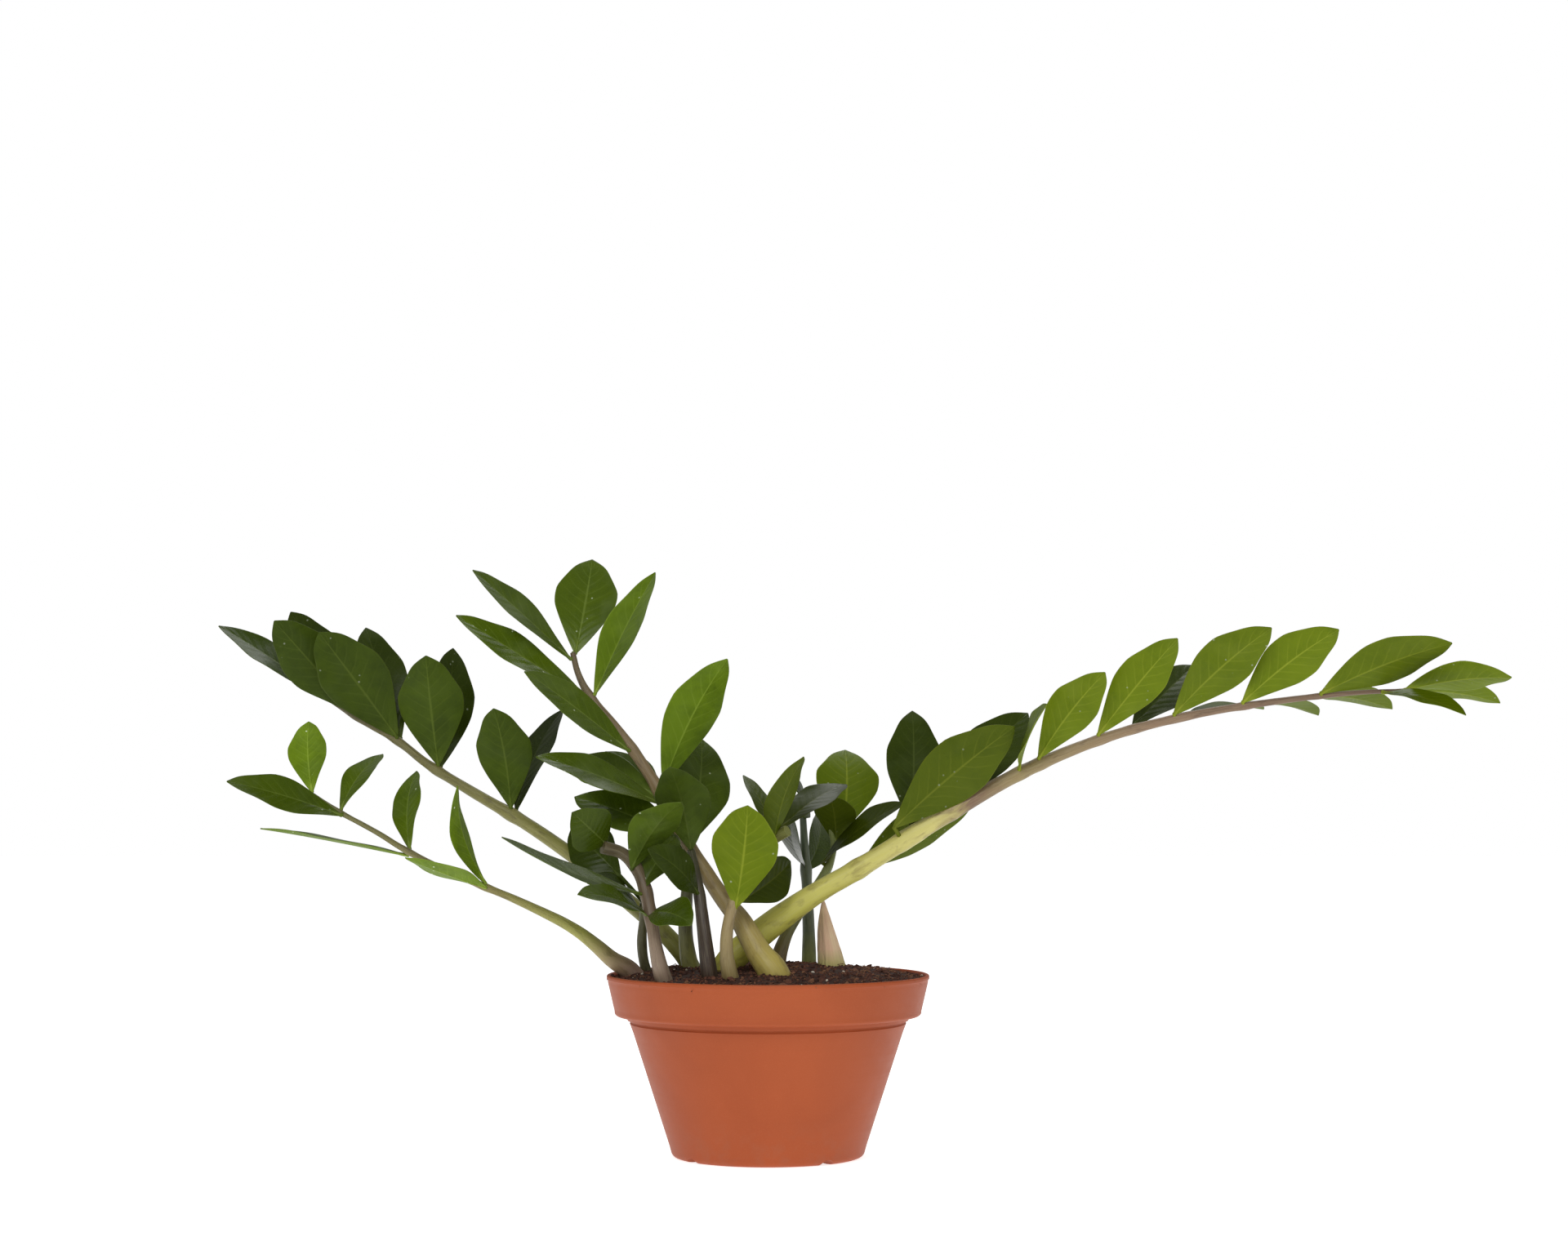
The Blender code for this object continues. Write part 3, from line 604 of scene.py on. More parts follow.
def addBlades(name, sheets, material):
    verts, faces, uvs, upper, shade = [], [], [], [], []
    for sheet in sheets:
        faces += [[i + len(verts) for i in face] for face in sheet["faces"]]
        verts += sheet["verts"]
        uvs += sheet["uvs"]
        upper += sheet["upper"]
        shade += sheet["shade"]
    obj = addPiece(name, verts, faces, material)
    turnOut(obj)
    layer = obj.data.uv_layers.new(name="blade")
    for loop, spot in zip(obj.data.loops, layer.data):
        spot.uv = uvs[loop.vertex_index]
    storeFloats(obj.data, "upper", upper)
    storeFloats(obj.data, "shade", shade)
    return obj


def nearestOn(path, point):
    best = None
    for a, b in zip(path, path[1:]):
        t = np.clip((point - a) @ (b - a) / ((b - a) @ (b - a)), 0, 1)
        spot = a + (b - a) * t
        if best is None or np.linalg.norm(spot - point) < np.linalg.norm(best - point):
            best = spot
    return best


leafTones = {
    "spread": 0.12,
    "leaflets": {
        "right_leaflet_01": 0.78, "right_leaflet_02": 0.62, "right_leaflet_06": 1.1,
        "right_leaflet_14": 0.8, "right_leaflet_15": 0.8, "right_leaflet_16": 0.85,
        "right_leaflet_17": 0.9, "lower_left_leaflet_02": 2.4, "lower_left_leaflet_03": 2.1,
        "lower_left_leaflet_05": 1.7,
    },
    # leaflets that sit in light take the lime look instead of their own: painted light
    "lime": [f"right_leaflet_{number:02d}" for number in (1, 13, 14, 15, 16)],
    "fronds": {
        "lower_left": 2.2, "centre": 1.95, "upper_left": 0.8, "front_left": 1.45, "middle_left": 1.3,
    },
    "tips": (   # x and z of a joined blade's tip in millimetres, and its tone
        (14, 192, 0.30), (22, 260, 0.62), (51, 242, 0.26), (-16, 247, 0.45), (40, 235, 0.5), (88, 230, 0.32),
    ),
    "tipReach": 12 * mm,
}


def toneOf(number, frondName, leafName=None, tip=None):
    tones = leafTones
    tone = tones["fronds"].get(frondName, 1.0) * (1 + tones["spread"] * math.sin(number * 2.4))
    if leafName in tones["leaflets"]:
        return tones["leaflets"][leafName]
    if tip is not None:
        for x, z, value in tones["tips"]:
            if math.hypot(tip[0] - x * mm, tip[2] - z * mm) < tones["tipReach"]:
                return value
    return tone


leafMaterials = {slot: leafMaterial(slot.replace("_", " "), look) for slot, look in leafLooks.items()}
seed = 0
joints = {}
for name, frond in longFronds.items():
    path = frond["stem"][0]
    joints[name] = []
    for leafName, rows in frond["blades"].items():
        seed += 1
        # on the right frond the lime front rank and deep back rank follow lit and shaded leaves, so these
        # looks are partly painted light and painted shade
        slot = "lime_leaf" if leafName in leafTones["lime"] else slotOf[leafName]
        root = nearestOn(path, rows[0, 1])
        joints[name].append(root)
        sheet = bladeMesh(rows, root, seed, toneOf(seed, name, leafName))
        settle(addBlades(leafName + "_blade", [sheet], leafMaterials[slot]), slot, leafName)
for name, frond in shortFronds.items():
    path = frond["stem"][0]
    sheets = []
    joints[name] = []
    for rows in frond["blades"]:
        seed += 1
        root = nearestOn(path, rows[0, 1])
        joints[name].append(root)
        sheets.append(bladeMesh(rows, root, seed, toneOf(seed, name, tip=rows[-1, 1])))
    slot = slotOf[name + "_frond"]
    settle(addBlades(name + "_blades", sheets, leafMaterials[slot]), slot, name + "_frond")
print("blades made:", seed)


stemLooks = {
    "right": [(0.0, (0.46, 0.43, 0.06)), (0.12, (0.53, 0.50, 0.09)), (0.34, (0.53, 0.48, 0.15)),
              (0.40, (0.17, 0.10, 0.06)), (0.47, (0.26, 0.20, 0.08)), (0.66, (0.22, 0.14, 0.08)),
              (1.0, (0.11, 0.06, 0.035))],
    "upper_left": [(0.0, (0.25, 0.25, 0.05)), (0.45, (0.20, 0.19, 0.045)), (1.0, (0.075, 0.06, 0.025))],
    "lower_left": [(0.0, (0.30, 0.18, 0.13)), (0.18, (0.30, 0.30, 0.06)), (0.5, (0.18, 0.15, 0.045)),
                   (1.0, (0.11, 0.11, 0.03))],
    "centre": [(0.0, (0.46, 0.37, 0.08)), (0.18, (0.27, 0.20, 0.07)), (0.6, (0.20, 0.135, 0.06)),
               (1.0, (0.11, 0.08, 0.04))],
    "front_left": [(0.0, (0.29, 0.21, 0.15)), (0.4, (0.14, 0.09, 0.055)), (1.0, (0.10, 0.08, 0.035))],
    "thin_left": [(0.0, (0.12, 0.11, 0.05)), (1.0, (0.08, 0.08, 0.03))],
    "middle_left": [(0.0, (0.28, 0.28, 0.06)), (0.35, (0.11, 0.11, 0.035)), (1.0, (0.06, 0.07, 0.025))],
    "dark_front": [(0.0, (0.07, 0.045, 0.03)), (0.5, (0.04, 0.026, 0.02)), (1.0, (0.05, 0.05, 0.02))],
    "bright_front": [(0.0, (0.30, 0.23, 0.09)), (0.4, (0.27, 0.20, 0.09)), (1.0, (0.16, 0.17, 0.04))],
    "grey_back": [(0.0, (0.26, 0.28, 0.06)), (0.25, (0.08, 0.10, 0.05)), (1.0, (0.05, 0.07, 0.04))],
    "pale_back": [(0.0, (0.19, 0.10, 0.045)), (0.3, (0.16, 0.17, 0.05)), (1.0, (0.14, 0.18, 0.035))],
}
stemShape = {
    "sides": 24, "step": 2.5 * mm, "swell": 0.10, "swellSpan": 5 * mm, "lump": 0.25 * mm, "lumpScale": 90.0,
}


def stemMaterial(name, stops):
    material, tree, where = newMaterial(name)
    share = attribute(tree, "share")
    wrap = wrapped(tree)
    blotch = grain(tree, stretched(tree, wrap, (1.1, 1.1, 70)), 1.0, 5, 0.62, 0.5)
    streak = grain(tree, stretched(tree, wrap, (9.0, 9.0, 60)), 1.0, 5, 0.6)
    fine = grain(tree, where, 1400, 3, 0.6)
    drift = calc(tree, "MULTIPLY_ADD", blotch, 0.10, -0.05)
    base = colourStops(tree, calc(tree, "ADD", share, drift), stops)
    dark = mixColour(tree, 1.0, base, (0.42, 0.36, 0.34, 1), "MULTIPLY")
    base = mixColour(tree, spread(tree, blotch, 0.52, 0.66, 0.0, 0.55), base, dark)
    light = mixColour(tree, 0.35, base, (0.55, 0.50, 0.30, 1))
    base = mixColour(tree, spread(tree, streak, 0.48, 0.75, 0.0, 0.6), base, light)
    rough = calc(tree, "MULTIPLY_ADD", streak, 0.25, 0.30)
    normal = raised(tree, streak, 0.4, 0.4 * mm)
    normal = raised(tree, fine, 0.25, 0.1 * mm, normal)
    finishMaterial(tree, base, rough, normal, {"Specular IOR Level": 0.4})
    return material


def stemTree():
    # a rail with its own thickness becomes a rod with caps
    tree, given = newTree("stem rod", (
        ("Sides", "Int"), ("Lump", "Float"), ("Seed", "Float"), ("Material", "Material"),
    ))
    thick = make(tree, "GeometryNodeInputNamedAttribute", {"Name": "thickness"}).outputs[0]
    rail = make(tree, "GeometryNodeMeshToCurve", {0: given["Geometry"]}).outputs[0]
    ring = make(tree, "GeometryNodeCurvePrimitiveCircle", {"Resolution": given["Sides"], "Radius": 1.0})
    place = make(tree, "GeometryNodeSplineParameter").outputs["Factor"]
    ring = make(tree, "GeometryNodeStoreNamedAttribute", {
        "Geometry": ring.outputs[0], "Name": "around", "Value": place,
    }).outputs[0]
    rod = make(tree, "GeometryNodeCurveToMesh", {
        "Curve": rail, "Profile Curve": ring, "Scale": thick, "Fill Caps": True,
    }).outputs[0]
    wander = {"W": given["Seed"], "Scale": stemShape["lumpScale"]}
    bumps = make(tree, "ShaderNodeTexNoise", wander, noise_dimensions="4D")
    out = make(tree, "GeometryNodeInputNormal").outputs[0]
    amount = calc(tree, "MULTIPLY", calc(tree, "SUBTRACT", bumps.outputs[0], 0.5), given["Lump"])
    shift = scaled(tree, out, amount)
    rod = make(tree, "GeometryNodeSetPosition", {"Geometry": rod, "Offset": shift}).outputs[0]
    rod = make(tree, "GeometryNodeSetShadeSmooth", {"Geometry": rod}).outputs[0]
    endTree(tree, rod, given["Material"])
    return tree


def addStem(name, middles, radii, swellings, tree, seed):
    reach = distances(middles)
    at = np.linspace(0, reach[-1], round(reach[-1] / stemShape["step"]))
    path = smoothRead(reach, middles, at)
    thick = smoothRead(reach, radii[:, None], at)[:, 0]
    for spot in swellings:
        gap = np.linalg.norm(path - spot, axis=1)
        thick = thick * (1 + stemShape["swell"] * np.exp(-(gap / stemShape["swellSpan"]) ** 2))
    soilLine = np.interp(soilTop, path[:, 2], at) if path[-1, 2] > soilTop else 0.0
    obj = addPiece(name + "_rod", path, [])
    obj.data.edges.add(len(path) - 1)
    obj.data.edges.foreach_set("vertices", [k for i in range(len(path) - 1) for k in (i, i + 1)])
    storeFloats(obj.data, "thickness", thick)
    storeFloats(obj.data, "along", at)
    storeFloats(obj.data, "share", np.clip((at - soilLine) / (reach[-1] - soilLine), 0, 1))
    runTree(obj, tree, {
        "Sides": stemShape["sides"], "Lump": stemShape["lump"], "Seed": float(seed),
        "Material": stemMaterial(name + " stem", stemLooks[name]),
    })
    return obj


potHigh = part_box("pot")[1]
soilTop = potHigh.z
rodTree = stemTree()
for number, (name, frond) in enumerate({**longFronds, **shortFronds}.items()):
    rod = addStem(name, *frond["stem"], joints[name], rodTree, number)
    node = name + ("_stem" if name in longFronds else "_frond")
    slot = slotOf[node] if name in longFronds else "brown_stem"
    settle(rod, slot, node)
print("stems made:", len(joints))


potLook = {
    "rim": potHigh.x,
    "height": potHigh.z,
    "lip": 2.4 * mm,
    "bandFoot": (0.9505, 0.7754),       # shares of the rim radius and of the height
    "ledge": (0.857, 0.743),
    "foot": (0.60, 0.038),
    "base": (0.543, 0.0),
    "wall": 1.9 * mm,
    "floor": 2.2 * mm,
    "segments": 192,
    "drainAngles": (-52, 38, 128, 218),
    "drainRadius": 6 * mm,
    "drainHeight": -2.2 * mm,
    "drainSpan": (46 * mm, 70 * mm),
    "drainSides": 40,
    "bottomRise": 0.7 * mm,
    "cornerIn": 4 * mm,
    "cornerLow": 4.2 * mm,
    "cornerBand": 2.4 * mm,
    "insideHeights": range(10, 86, 8),     # millimetres
    "outsideHeights": range(80, 6, -6),
    # the small steps of the outline, in millimetres out and up from the place that each starts at
    "stepInside": ((0.4, -1),),
    "bandInside": ((-2, 0), (-0.4, 1), (0, 3)),
    "lipInside": ((-0.7, -4.5), (0, -2.2)),
    "lipOutside": ((-0.05, -2.6), (-0.75, -3.3), (-0.9, -5)),
    "bandUnder": ((3.2, -0.1), (2.2, -0.6), (1.7, -2.0), (1.4, -2.9), (-0.5, -3.1)),
    "ledgeUnder": ((-0.6, -0.4), (-0.1, -1.2)),
    "sharpAngle": 42,
    "dull": (0.335, 0.066, 0.017, 1),
    "bright": (0.385, 0.079, 0.021, 1),
    "lineTint": (0.33, 0.070, 0.022, 1),
    "grainTint": (0.52, 0.15, 0.06, 1),
    "dirt": (0.30, 0.13, 0.08, 1),
    "dirtTop": 35 * mm,
}


def arcPoints(centre, radius, start, end, count):
    angles = np.radians(np.linspace(start, end, count))
    return [(centre[0] + radius * math.cos(a), centre[1] + radius * math.sin(a)) for a in angles]


def stepped(x, z, steps):
    return [(x + out * mm, z + up * mm) for out, up in steps]


def spun(name, profile, segments, material):
    # the profile starts and ends on the axis
    verts = [(0, 0, profile[0][1])]
    ring = len(profile) - 2
    for k in range(segments):
        angle = 2 * math.pi * k / segments
        verts += [(r * math.cos(angle), r * math.sin(angle), z) for r, z in profile[1:-1]]
    verts.append((0, 0, profile[-1][1]))
    faces = []
    for k in range(segments):
        a, b = 1 + k * ring, 1 + (k + 1) % segments * ring
        faces.append([0, a, b])
        faces += [[a + i, a + i + 1, b + i + 1, b + i] for i in range(ring - 1)]
        faces.append([a + ring - 1, len(verts) - 1, b + ring - 1])
    obj = addPiece(name, verts, faces, material)
    turnOut(obj)
    return obj


def potMaterial(look):
    material, tree, where = newMaterial("terracotta coloured plastic")
    cloud = grain(tree, where, 14, 4, 0.55, 0.6)
    lines = grain(tree, stretched(tree, where, (6, 6, 420)), 1.0, 3, 0.6)
    fine = grain(tree, where, 1100, 4, 0.65)
    dust = grain(tree, where, 75, 6, 0.7, 0.3)
    base = mixColour(tree, spread(tree, cloud, 0.3, 0.7), look["dull"], look["bright"])
    base = mixColour(tree, spread(tree, lines, 0.45, 0.8, 0.0, 0.16), base, look["lineTint"])
    base = mixColour(tree, spread(tree, fine, 0.5, 0.8, 0.0, 0.15), base, look["grainTint"])
    height = make(tree, "ShaderNodeSeparateXYZ", {0: where}).outputs[2]
    low = calc(tree, "MULTIPLY", spread(tree, height, look["dirtTop"], 0.0), spread(tree, dust, 0.45, 0.7))
    base = mixColour(tree, calc(tree, "MULTIPLY", low, 0.35), base, look["dirt"])
    rough = calc(tree, "MULTIPLY_ADD", dust, 0.22, 0.36)
    rough = calc(tree, "ADD", rough, calc(tree, "MULTIPLY", lines, 0.08))
    normal = raised(tree, lines, 0.12, 0.2 * mm)
    normal = raised(tree, fine, 0.15, 0.1 * mm, normal)
    finishMaterial(tree, base, rough, normal, {"Specular IOR Level": 0.24})
    return material


def buildPot(look):
    rim, tall, wall, lip = look["rim"], look["height"], look["wall"], look["lip"]
    (bandR, bandZ), (ledgeR, ledgeZ), (footR, footZ), (baseR, _) = [
        (look[key][0] * rim, look[key][1] * tall) for key in ("bandFoot", "ledge", "foot", "base")
    ]
    inner, corner, band = look["cornerIn"], look["cornerLow"], look["cornerBand"]

    def wallAt(z):
        return footR + (z - footZ) / (ledgeZ - footZ) * (ledgeR - footR)

    # from the middle of the floor up the inside, over the lip and down the outside
    profile = [(0, look["floor"]), (baseR - 3 * mm, look["floor"])]
    profile += arcPoints((baseR - 2 * mm, look["floor"] + inner), inner, -80, -25, 6)
    profile += [(wallAt(z * mm) - wall, z * mm) for z in look["insideHeights"]]
    profile += stepped(ledgeR - wall, bandZ + wall, look["stepInside"])
    profile += stepped(bandR - wall, bandZ + wall, look["bandInside"])
    profile += stepped(rim - lip, tall, look["lipInside"])
    profile += arcPoints((rim - lip / 2, tall - lip / 2), lip / 2, 160, 0, 9)
    profile += stepped(rim, tall, look["lipOutside"])
    start, end = profile[-1], (bandR, bandZ + 3 * mm)
    steps = np.linspace(0.1, 1, 8)
    profile += [(start[0] + (end[0] - start[0]) * t, start[1] + (end[1] - start[1]) * t) for t in steps]
    profile += arcPoints((bandR - band, bandZ + band), band, -8, -88, 7)
    profile += stepped(ledgeR, bandZ, look["bandUnder"])
    profile += stepped(ledgeR, ledgeZ, look["ledgeUnder"])
    profile += [(wallAt(z * mm), z * mm) for z in look["outsideHeights"]]
    profile += arcPoints((footR - corner, footZ), corner, -8, -75, 6)
    profile += [(baseR, 0.1 * mm), (baseR - 3 * mm, 0.0)]
    profile += [(baseR - 14 * mm, look["bottomRise"]), (0, look["bottomRise"])]
    pot = spun("pot_shell", profile, look["segments"], potMaterial(look))
    cutters = []
    for angle in look["drainAngles"]:
        turn = math.radians(angle)
        out = np.array([math.cos(turn), math.sin(turn), 0])
        lift = np.array([0, 0, look["drainHeight"]])
        ends = [out * r + lift for r in look["drainSpan"]]
        rod = rodMesh(ends, [look["drainRadius"]] * len(ends), look["drainSides"])
        cutter = addPiece("drain_cutter", *rod)
        turnOut(cutter)
        cut = pot.modifiers.new("drain", "BOOLEAN")
        cut.solver = "EXACT"
        cut.object = cutter
        cutters.append(cutter)
    bpy.context.view_layer.update()
    mesh = bpy.data.meshes.new_from_object(pot.evaluated_get(bpy.context.evaluated_depsgraph_get()))
    pot.modifiers.clear()
    pot.data = mesh
    for cutter in cutters:
        bpy.data.objects.remove(cutter)
    mesh.shade_smooth()
    mesh.set_sharp_from_angle(angle=math.radians(look["sharpAngle"]))
    return pot


settle(buildPot(potLook), "pot_plastic", "pot")
print("pot made")


soilLook = {
    "top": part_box("soil")[1].z,
    "edge": potHigh.z - 1.8 * mm,
    "radius": potHigh.x - 3.1 * mm,
    "floorRadius": 56 * mm,
    "shoulder": 0.70,
    "rings": 40,
    "segments": 144,
    "rough": 1.5 * mm,
    "lumps": (70, 0.8, 2.2, 5),
    "calm": 6 * mm,
    "wallGap": 2.6 * mm,
    "floorGap": 2.7 * mm,
    "topSlope": 0.45,
    "stops": [
        (0.10, (0.020, 0.008, 0.006)), (0.35, (0.048, 0.018, 0.013)), (0.55, (0.090, 0.032, 0.022)),
        (0.72, (0.150, 0.060, 0.035)), (0.90, (0.28, 0.14, 0.07)),
    ],
    "fineTint": (0.12, 0.06, 0.035, 1),
    "speckTint": (0.62, 0.56, 0.46, 1),
    "seed": 7,
    "fibreThick": 0.022,
    "swirl": {"Scale": 600.0, "Detail": 1.0},
    # count for each square metre, size, smallest and largest share of it, tilt, shade and wobble
    "cover": {
        "Crumbs": (95000.0, 1.5 * mm, (0.35, 0.3, 0.25), (1.1, 0.95, 0.8), 3.1, (0.0, 1.15), 1.4 * mm),
        "Chips": (5200.0, 3.1 * mm, (0.35, 0.3, 0.2), (1.2, 0.9, 0.6), 0.7, (0.1, 1.1), 2.2 * mm),
        "Fibres": (22000.0, 9 * mm, (0.4, 0.4, 0.4), (1.3, 1.0, 1.3), 0.45, (0.6, 1.45), 1.2 * mm),
        "Specks": (700.0, 1.5 * mm, (0.4, 0.4, 0.4), (0.9, 0.9, 0.8), 3.1, (1.7, 1.9), 1.0 * mm),
    },
}


def soilMaterial(look):
    material, tree, where = newMaterial("damp peat")
    shade = attribute(tree, "shade")
    clump = grain(tree, where, 160, 6, 0.7, 0.5)
    fine = grain(tree, where, 1500, 4, 0.7)
    depth = calc(tree, "ADD", calc(tree, "MULTIPLY", clump, 0.5), calc(tree, "MULTIPLY", shade, 0.5))
    base = colourStops(tree, depth, look["stops"])
    base = mixColour(tree, spread(tree, fine, 0.45, 0.8, 0.0, 0.4), base, look["fineTint"])
    base = mixColour(tree, spread(tree, shade, 1.5, 1.6), base, look["speckTint"])
    rough = calc(tree, "MULTIPLY_ADD", fine, 0.25, 0.68)
    normal = raised(tree, clump, 0.7, 1.5 * mm)
    normal = raised(tree, fine, 0.6, 0.3 * mm, normal)
    finishMaterial(tree, base, rough, normal, {"Specular IOR Level": 0.25})
    return material


def soilTree(look):
    # crumbs, bark chips, fibres and pale specks lie over the top of the soil
    kinds = [(kind + part, "Float") for kind in look["cover"] for part in ("", " Size")]
    tree, given = newTree("soil cover", kinds + [("Seed", "Int"), ("Material", "Material")])
    facing = make(tree, "GeometryNodeInputNormal").outputs[0]
    upward = make(tree, "ShaderNodeSeparateXYZ", {0: facing}).outputs[2]
    limits = {0: upward, 1: look["topSlope"]}
    top = make(tree, "FunctionNodeCompare", limits, data_type="FLOAT", operation="GREATER_THAN").outputs[0]
    pieces = [given["Geometry"]]

    def dice(low, high, salt, kind="FLOAT"):
        node = tree.nodes.new("FunctionNodeRandomValue")
        node.data_type = kind
        slots = [s for s in node.inputs if s.enabled]
        slots[0].default_value = low
        slots[1].default_value = high
        shifted = calc(tree, "ADD", given["Seed"], salt)
        tree.links.new(shifted, node.inputs["Seed"])
        return next(s for s in node.outputs if s.enabled)

    def scatter(kind, shape, salt):
        low, high, tilt, shades, wobble = look["cover"][kind][2:]
        spots = make(tree, "GeometryNodeDistributePointsOnFaces", {
            "Mesh": given["Geometry"], "Selection": top, "Density": given[kind],
            "Seed": calc(tree, "ADD", given["Seed"], salt),
        }).outputs[0]
        spin = dice((-tilt, -tilt, 0.0), (tilt, tilt, 2 * math.pi), salt + 0.1, "FLOAT_VECTOR")
        grow = scaled(tree, dice(low, high, salt + 1.3, "FLOAT_VECTOR"), given[kind + " Size"])
        laid = make(tree, "GeometryNodeInstanceOnPoints", {
            "Points": spots, "Instance": shape, "Rotation": spin, "Scale": grow,
        }).outputs[0]
        laid = make(tree, "GeometryNodeStoreNamedAttribute", {
            "Geometry": laid, "Name": "shade", "Value": dice(*shades, salt + 2.7),
        }, domain="INSTANCE").outputs[0]
        laid = make(tree, "GeometryNodeRealizeInstances", {"Geometry": laid}).outputs[0]
        swirl = make(tree, "ShaderNodeTexNoise", look["swirl"]).outputs["Color"]
        centred = make(tree, "ShaderNodeVectorMath", {0: swirl, 1: (0.5, 0.5, 0.5)}, operation="SUBTRACT")
        shift = scaled(tree, centred.outputs[0], wobble)
        pieces.append(make(tree, "GeometryNodeSetPosition", {"Geometry": laid, "Offset": shift}).outputs[0])

    ball = make(tree, "GeometryNodeMeshIcoSphere", {"Radius": 1.0, "Subdivisions": 1}).outputs[0]
    lump = make(tree, "GeometryNodeMeshIcoSphere", {"Radius": 1.0, "Subdivisions": 2}).outputs[0]
    line = make(tree, "GeometryNodeCurveQuadraticBezier", {
        "Resolution": 5, "Start": (-0.5, 0, 0), "Middle": (0, 0.3, 0.14), "End": (0.5, 0, 0),
    }).outputs[0]
    ring = make(tree, "GeometryNodeCurvePrimitiveCircle", {"Resolution": 4, "Radius": 1.0}).outputs[0]
    hair = make(tree, "GeometryNodeCurveToMesh", {
        "Curve": line, "Profile Curve": ring, "Scale": look["fibreThick"], "Fill Caps": True,
    }).outputs[0]
    shapes = {"Crumbs": ball, "Chips": lump, "Fibres": hair, "Specks": lump}
    for salt, kind in enumerate(look["cover"], 1):
        scatter(kind, shapes[kind], salt)
    joined = tree.nodes.new("GeometryNodeJoinGeometry")
    for geometry in pieces:
        tree.links.new(geometry, joined.inputs[0])
    endTree(tree, joined.outputs[0], given["Material"])
    return tree


def buildSoil(look):
    wide = look["radius"]
    profile = [(0, look["top"])]
    for i in range(1, look["rings"] + 1):
        share = i / look["rings"]
        bend = look["shoulder"]
        fall = (min(1.0, share / bend) ** 2 + max(0.0, share - bend) / (1 - bend)) / 2
        profile.append((share * wide, look["top"] + (look["edge"] - look["top"]) * fall - 0.5 * mm))
    bandR = potLook["bandFoot"][0] * potLook["rim"] - look["wallGap"]
    stepZ = potLook["bandFoot"][1] * potLook["height"] + look["wallGap"]
    ledgeR = potLook["ledge"][0] * potLook["rim"] - look["wallGap"]
    profile += [(wide - 0.5 * mm, look["edge"] - 3 * mm), (bandR, stepZ + 2 * mm), (bandR - 1.5 * mm, stepZ)]
    profile += [(ledgeR, stepZ - 1 * mm), (look["floorRadius"] + 3 * mm, 8 * mm)]
    profile += [(look["floorRadius"], look["floorGap"]), (0, look["floorGap"])]
    soil = spun("soil_bed", profile, look["segments"], None)
    for vertex in soil.data.vertices:
        place = vertex.co
        flat = math.hypot(place.x, place.y)
        if place.z > look["edge"] - 2 * mm:
            calm = min(1.0, (wide - flat) / look["calm"])
            scale, *steps = look["lumps"]
            bumps = noise.fractal(place * scale, *steps) * look["rough"]
            place.z += bumps * calm
            place.z = min(place.z, look["top"])
    return soil


soil = buildSoil(soilLook)
amounts = {"Seed": soilLook["seed"], "Material": soilMaterial(soilLook)}
for kind, cover in soilLook["cover"].items():
    amounts[kind], amounts[kind + " Size"] = cover[:2]
runTree(soil, soilTree(soilLook), amounts)
settle(soil, "soil", "soil")
print("soil made:", len(soil.data.polygons), "faces")


sheathLook = {
    "turns": 48, "rows": 40, "ridges": 17, "ridge": 0.03, "overlap": 0.9 * mm, "thin": 4 * mm, "split": -1.9,
    "bulge": 0.12, "bulgeTurn": 0.6, "sharpAngle": 60,
    "pink": (0.82, 0.55, 0.37, 1), "beige": (0.86, 0.66, 0.42, 1), "fibreTint": (0.46, 0.28, 0.18, 1),
    "footTint": (0.44, 0.42, 0.12, 1), "tipTint": (0.36, 0.21, 0.13, 1),
}


def sheathMaterial(look):
    material, tree, _ = newMaterial("papery sheath")
    along = attribute(tree, "along")
    wrap = wrapped(tree)
    fibre = grain(tree, stretched(tree, wrap, (16, 16, 1.2)), 1.0, 5, 0.6)
    patch = grain(tree, stretched(tree, wrap, (1.5, 1.5, 3)), 1.0, 3, 0.5)
    base = mixColour(tree, spread(tree, patch, 0.35, 0.65), look["pink"], look["beige"])
    base = mixColour(tree, spread(tree, fibre, 0.42, 0.72, 0.0, 0.35), base, look["fibreTint"])
    base = mixColour(tree, spread(tree, along, 0.42, 0.22, 0.0, 0.8), base, look["footTint"])
    base = mixColour(tree, spread(tree, along, 0.9, 1.0, 0.0, 0.4), base, look["tipTint"])
    rough = calc(tree, "MULTIPLY_ADD", fibre, 0.2, 0.55)
    finishMaterial(tree, base, rough, raised(tree, fibre, 0.6, 0.5 * mm), {"Specular IOR Level": 0.3})
    return material


def buildSheath(look):
    middles, radii = readStem(*readShape("sheath"))
    reach = distances(middles)
    at = np.linspace(0, reach[-1], look["rows"])
    path = smoothRead(reach, middles, at)
    thick = smoothRead(reach, radii[:, None], at)[:, 0]
    verts, share, around = [], [], []
    for k, (point, radius) in enumerate(zip(path, thick)):
        for j in range(look["turns"]):
            part = j / look["turns"]
            angle = look["split"] + 2 * math.pi * part
            wrap = look["overlap"] * (0.5 - part) * min(1.0, radius / look["thin"])
            ridge = look["ridge"] * math.sin(angle * look["ridges"] + 2 * math.sin(k * 0.2))
            here = radius * (1 + ridge) + wrap
            lean = 1.0 + look["bulge"] * math.cos(angle - look["bulgeTurn"]) * (1 - k / look["rows"])
            verts.append(point + np.array([math.cos(angle), math.sin(angle), 0]) * here * lean)
            share.append(k / (look["rows"] - 1))
            around.append(part)
    faces = tubeFaces(look["rows"], look["turns"])
    obj = addPiece("sheath_wrap", verts, faces, sheathMaterial(look))
    turnOut(obj)
    obj.data.set_sharp_from_angle(angle=math.radians(look["sharpAngle"]))
    storeFloats(obj.data, "along", share)
    storeFloats(obj.data, "around", around)
    return obj


tuberLook = {
    "turns": 64, "rows": 36, "knobs": 0.05, "knobScale": 2.3, "ring": 0.012, "rings": 46,
    "light": (0.33, 0.22, 0.11, 1), "dark": (0.20, 0.12, 0.06, 1), "grainTint": (0.42, 0.31, 0.18, 1),
}


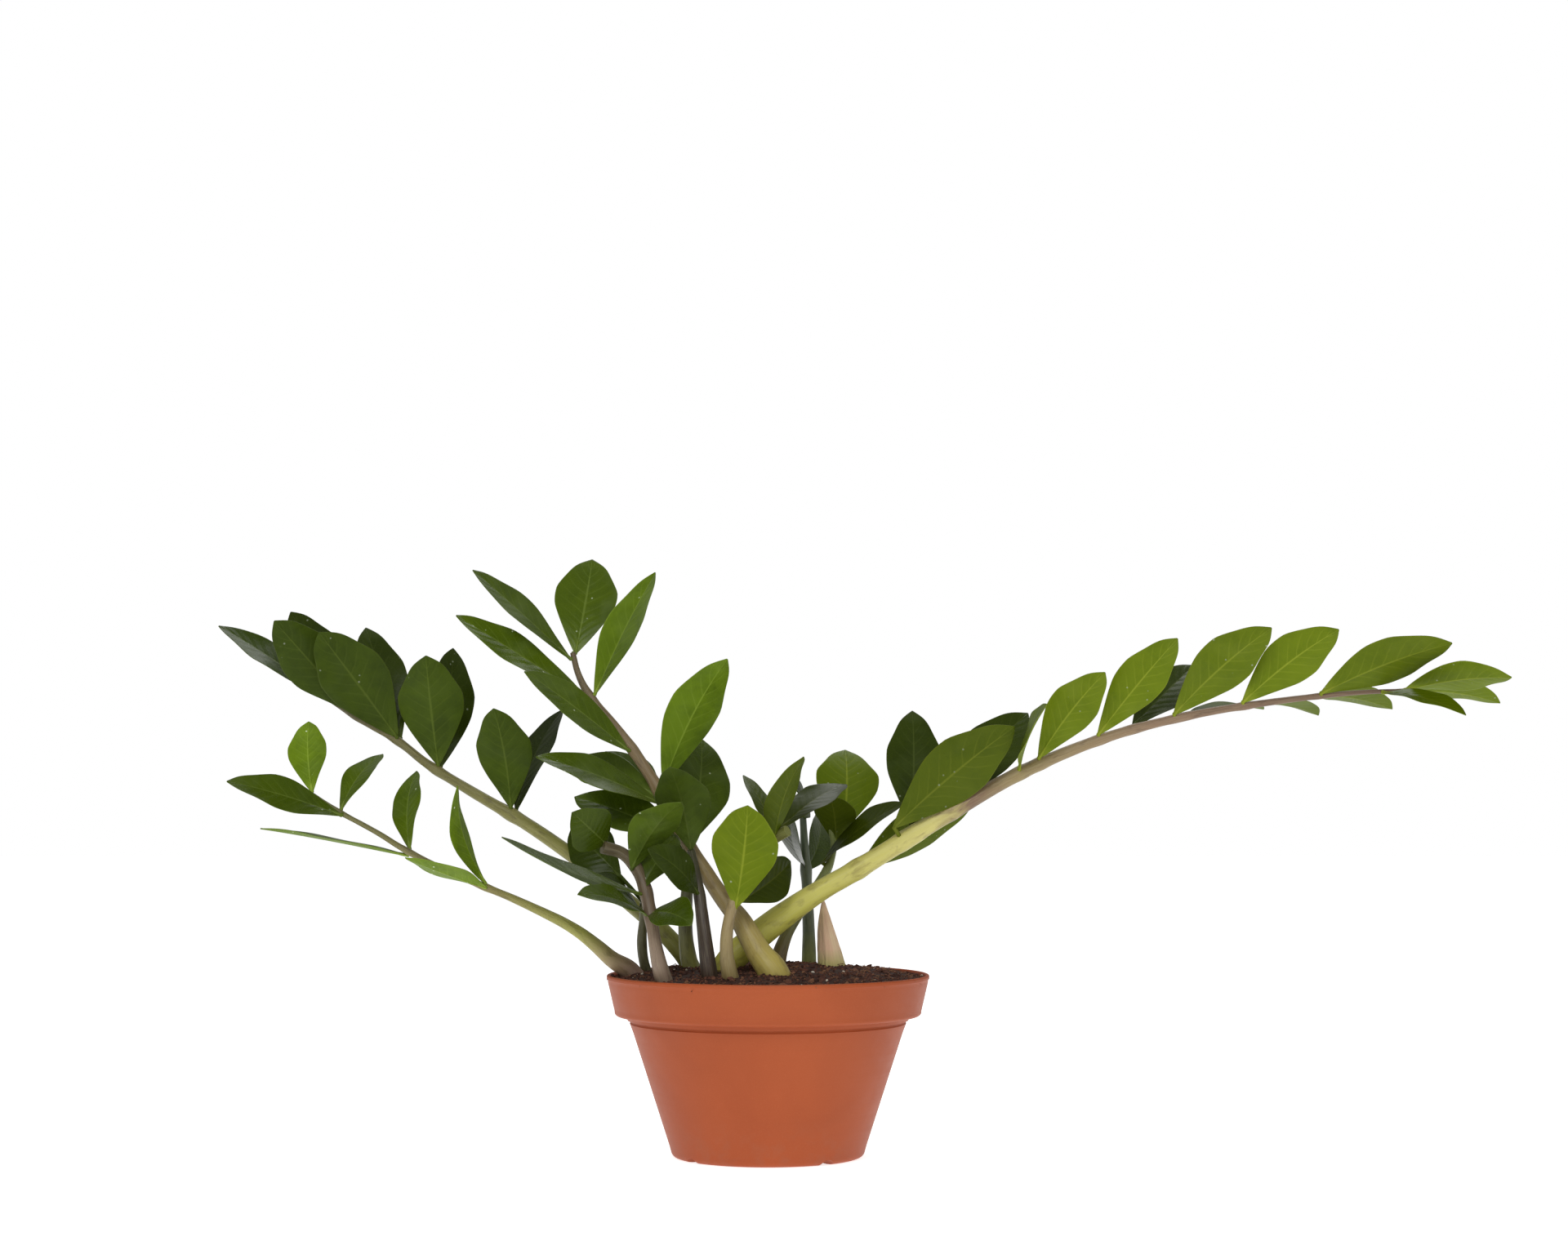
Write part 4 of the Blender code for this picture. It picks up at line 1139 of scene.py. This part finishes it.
def tuberMaterial(look):
    material, tree, where = newMaterial("tuber skin")
    band = grain(tree, stretched(tree, where, (30, 30, 260)), 1.0, 5, 0.6, 0.4)
    fine = grain(tree, where, 700, 5, 0.65)
    base = mixColour(tree, spread(tree, band, 0.3, 0.7), look["light"], look["dark"])
    base = mixColour(tree, spread(tree, fine, 0.5, 0.8, 0.0, 0.5), base, look["grainTint"])
    rough = calc(tree, "MULTIPLY_ADD", fine, 0.2, 0.65)
    finishMaterial(tree, base, rough, raised(tree, band, 0.5, 0.8 * mm), {"Specular IOR Level": 0.3})
    return material


def buildTuber(look):
    low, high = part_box("tuber")
    middle = (low + high) / 2
    half = (high - low) / 2
    profile = [(math.sin(a), math.cos(a)) for a in np.linspace(math.pi, 0, look["rows"] + 1)]
    tuber = spun("tuber_body", profile, look["turns"], tuberMaterial(look))
    for vertex in tuber.data.vertices:
        knob = 1 - look["knobs"] + look["knobs"] * noise.noise(vertex.co * look["knobScale"])
        knob += look["ring"] * math.sin(vertex.co.z * look["rings"])
        vertex.co = Vector([m + h * c * knob for m, h, c in zip(middle, half, vertex.co)])
    return tuber


settle(buildSheath(sheathLook), "dry_sheath", "sheath")
settle(buildTuber(tuberLook), "tuber_skin", "tuber")
print("sheath and tuber made")


studio = {
    "camera": (0.0104, -2.03, 0.2507),
    "tilt": 92.76,
    "lens": 71.25,
    "sensor": 36,
    "sky": 0.33,
    "floorGlow": 0.76,
    "floor": 14.0,
    "lamps": (
        {"place": (-0.6, -2.2, 1.8), "aim": (0, 0, 0.2), "size": 1.1, "power": 25},
        {"place": (0.9, -2.2, 1.4), "aim": (0, 0, 0.2), "size": 1.2, "power": 8},
        {"place": (0.2, 1.3, 2.2), "aim": (0, 0, 0.2), "size": 1.4, "power": 16},
    ),
}


def floorMaterial(glow):
    material, tree, _ = newMaterial("pale floor")
    finishMaterial(tree, (0.80, 0.80, 0.80, 1), 0.8, None, {
        "Emission Color": (1, 1, 1, 1), "Emission Strength": glow, "Specular IOR Level": 0.0,
    })
    return material


edge = studio["floor"] / 2
corners = [(-edge, -edge, 0), (edge, -edge, 0), (edge, edge, 0), (-edge, edge, 0)]
addPiece("floor", corners, [[0, 1, 2, 3]], floorMaterial(studio["floorGlow"]))

world = bpy.data.worlds.new("studio")
scene.world = world
world.use_nodes = True
tree = world.node_tree
tree.nodes.clear()
seen = make(tree, "ShaderNodeLightPath").outputs["Is Camera Ray"]
sky = make(tree, "ShaderNodeBackground", {
    "Color": (1, 1, 1, 1), "Strength": spread(tree, seen, 0.0, 1.0, studio["sky"], 1.0),
})
make(tree, "ShaderNodeOutputWorld", {"Surface": sky.outputs[0]})

for number, lamp in enumerate(studio["lamps"]):
    light = bpy.data.lights.new(f"soft box {number + 1}", "AREA")
    light.size = lamp["size"]
    light.energy = lamp["power"]
    obj = bpy.data.objects.new(light.name, light)
    scene.collection.objects.link(obj)
    obj.location = lamp["place"]
    obj.rotation_euler = (Vector(lamp["aim"]) - Vector(lamp["place"])).to_track_quat("-Z", "Y").to_euler()

cameraData = bpy.data.cameras.new("front view")
cameraData.lens = studio["lens"]
cameraData.sensor_width = studio["sensor"]
camera = bpy.data.objects.new("front view", cameraData)
scene.collection.objects.link(camera)
camera.location = studio["camera"]
camera.rotation_euler = (math.radians(studio["tilt"]), 0, 0)
scene.camera = camera
scene.view_settings.view_transform = "Standard"
